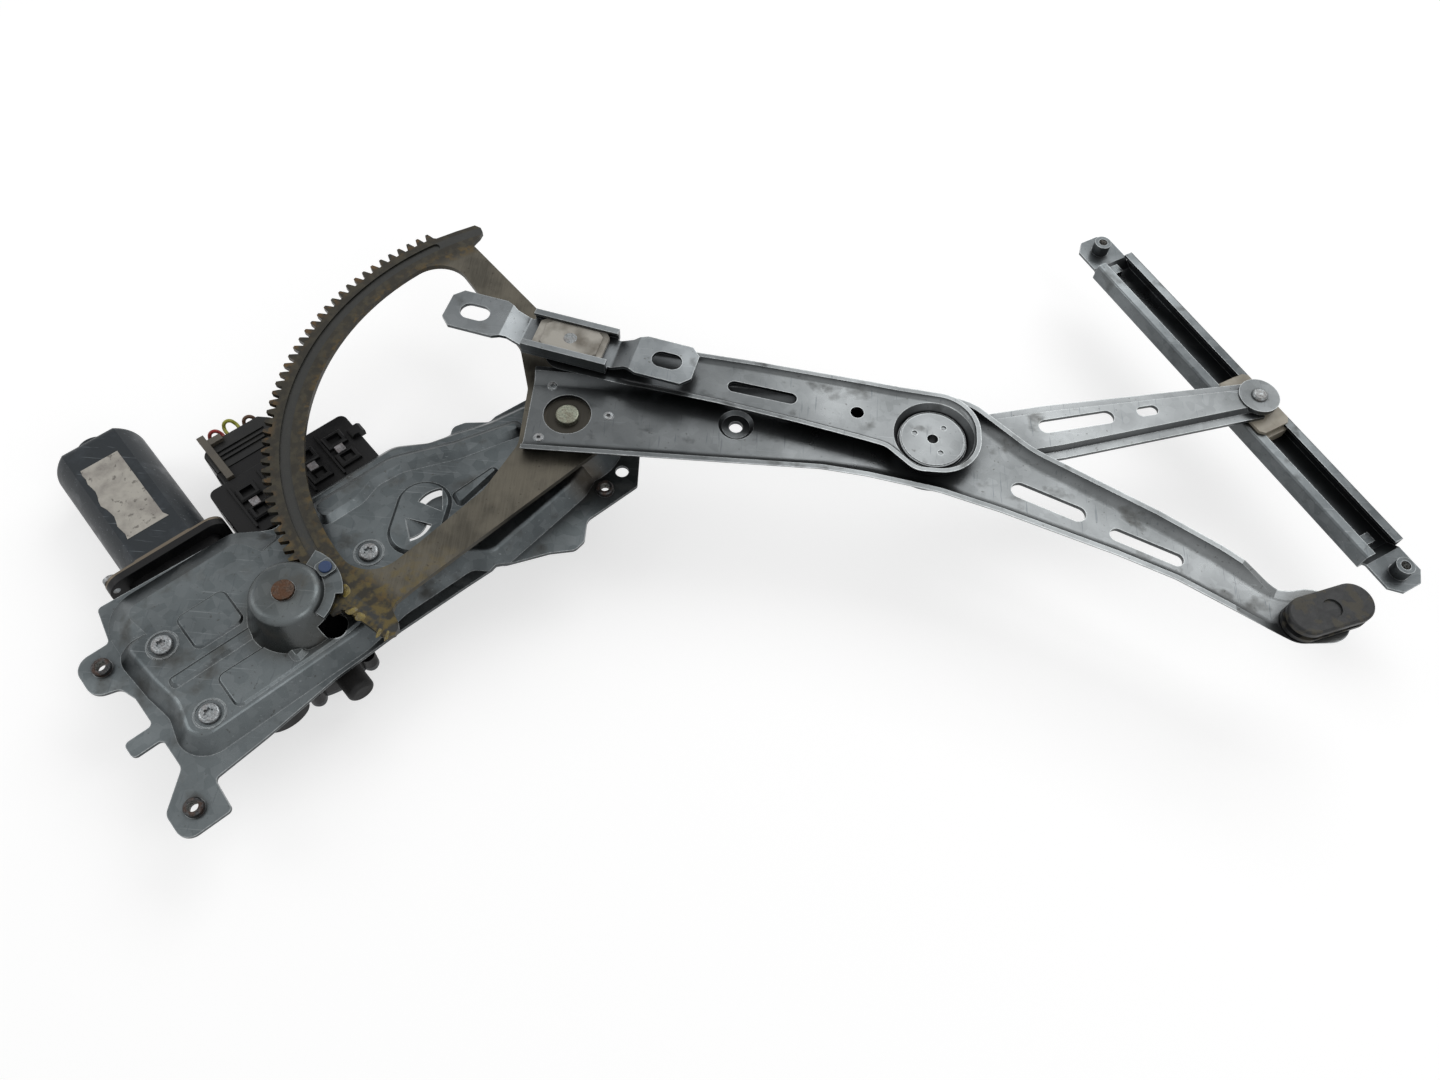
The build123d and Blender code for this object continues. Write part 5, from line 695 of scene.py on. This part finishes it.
# %% Grease lumps
def grease_lump(name):
    piece = start_piece(name, bpy.ops.mesh.primitive_ico_sphere_add, subdivisions=4, radius=1.0)
    for side in range(7):
        way = Vector((cos(side * 0.9), sin(side * 0.9), 0.25 * (side % 3)))
        pick(piece, "verts", lambda v: v.co.normalized().dot(way.normalized()) > 0.90)
        bpy.ops.transform.translate(value=way * (0.18 if side % 2 else -0.12))
    bpy.ops.mesh.select_all(action="SELECT")
    bpy.ops.mesh.vertices_smooth(factor=0.5, repeat=10)
    pick(piece, "verts", lambda v: v.co.z < 0.0)
    bpy.ops.transform.resize(value=(1.15, 1.15, 0.3), center_override=(0, 0, 0))
    settle(piece)
    return piece


def amber_grease():
    material, tree, shader, place = start_material("amber_gear_grease")
    thick = speckle(tree, place, 2.2, 0.35, 0.65, detail=5.0)
    dirt = speckle(tree, place, 1.4, 0.58, 0.68, detail=6.0)
    colour = layered(tree, linear("#5E5128"), ("#8A7A3A", 1, thick), ("#2E2818", 0.7, dirt))
    rough = add(tree, "ShaderNodeMapRange", {"Value": thick, "To Min": 0.22, "To Max": 0.4})
    wire(tree, shader, base_color=colour, roughness=rough, normal=dented(tree, (0.35, 0.8, thick)))
    return material


SECTOR_FACE = 25.35
# Each lump's place on the sector, its half width, half depth and height in mm, and its turn
LUMPS = ((119.5, 30.5, 3.0, 1.7, 0.7, 20), (124.0, 28.0, 2.2, 2.6, 0.6, 75),
         (113.5, 41.0, 4.5, 2.4, 0.35, 110), (134.5, 20.5, 2.6, 1.0, 0.4, 80),
         (138.5, 19.5, 2.8, 0.9, 0.4, 85))
places = {f"grease_lump_{number}": shift(x, y, SECTOR_FACE) @ turn_about_z(turn)
          @ Matrix.Diagonal((wide * MM, deep * MM, tall * MM, 1.0))
          for number, (x, y, wide, deep, tall, turn) in enumerate(LUMPS, 1)}
fit_copies(grease_lump("grease_lump_1"), places, amber_grease(), "sector_arm")

# %% [markdown]
# The real part was photographed on a plain white ground. A pale floor catches a soft shadow,
# and rays from the camera, also after a glossy or clear surface, see it as nearly white.

# %% Floor
def seen_directly(tree):
    """1 for rays from the camera, from a glossy surface and through a clear one."""
    path = add(tree, "ShaderNodeLightPath")
    straight = add(tree, "ShaderNodeMath", {0: (path, "Is Camera Ray"),
                                            1: (path, "Is Transmission Ray")}, operation="MAXIMUM")
    return add(tree, "ShaderNodeMath", {0: straight, 1: (path, "Is Glossy Ray")}, operation="MAXIMUM")


FLOOR_WIDTH = 6.0
FLOOR_GAP = 1.5 * MM
FLOOR_LEVEL = bounds_at_load[0][2] - FLOOR_GAP
FLOOR_GLOW = 0.62
bpy.ops.object.select_all(action="DESELECT")
bpy.ops.mesh.primitive_plane_add(size=FLOOR_WIDTH, location=(0.35, 0.15, FLOOR_LEVEL))
floor = bpy.context.object
floor.name = "floor"
material, tree, shader, place = start_material("pale_studio_floor")
glow = add(tree, "ShaderNodeEmission", {"Color": (1, 1, 1, 1), "Strength": FLOOR_GLOW})
paper = add(tree, "ShaderNodeBsdfDiffuse", {"Color": linear("#C9C9C9")})
both = add(tree, "ShaderNodeAddShader", {0: paper, 1: glow})
mixed = add(tree, "ShaderNodeMixShader", {0: seen_directly(tree), 1: paper, 2: both})
tree.links.new(mixed.outputs[0], tree.nodes["Material Output"].inputs["Surface"])
floor.data.materials.append(material)
print("floor at", round(FLOOR_LEVEL, 4))

# %% [markdown]
# One wide softbox high behind the part on the right gives zinc its broad sheen and leaves the
# motor's end darker, as in the photograph. A weak one on the left and a weak fill in front keep
# the edges readable. The world is white where it is seen and grey where it only lights.

# %% Soft studio light
def softbox(name, place, aim, size, watts):
    """A lamp of the given width and height. Its place, its aim and its size are in metres."""
    data = bpy.data.lights.new(name, "AREA")
    data.shape = "RECTANGLE"
    data.size, data.size_y = size
    data.energy = watts
    lamp = bpy.data.objects.new(name, data)
    bpy.context.scene.collection.objects.link(lamp)
    lamp.location = place
    lamp.rotation_euler = (Vector(aim) - Vector(place)).to_track_quat("-Z", "Y").to_euler()


# How bright the world is where it only lights the part
WORLD_LIGHT = 0.32
softbox("key_softbox", (0.85, 1.15, 1.3), (0.45, 0.15, 0.0), (1.5, 1.0), 10.5)
softbox("side_softbox", (-0.95, 0.1, 0.9), (0.3, 0.1, 0.0), (0.7, 0.9), 3.0)
softbox("fill_softbox", (1.2, -0.7, 1.2), (0.4, 0.15, 0.0), (0.9, 0.9), 3.0)
world = bpy.data.worlds.new("studio_world")
bpy.context.scene.world = world
world.use_nodes = True
tree = world.node_tree
strength = add(tree, "ShaderNodeMapRange", {"Value": seen_directly(tree), "To Min": WORLD_LIGHT,
                                            "To Max": 1.0})
tree.links.new(strength.outputs[0], tree.nodes["Background"].inputs["Strength"])
tree.nodes["Background"].inputs["Color"].default_value = (1, 1, 1, 1)
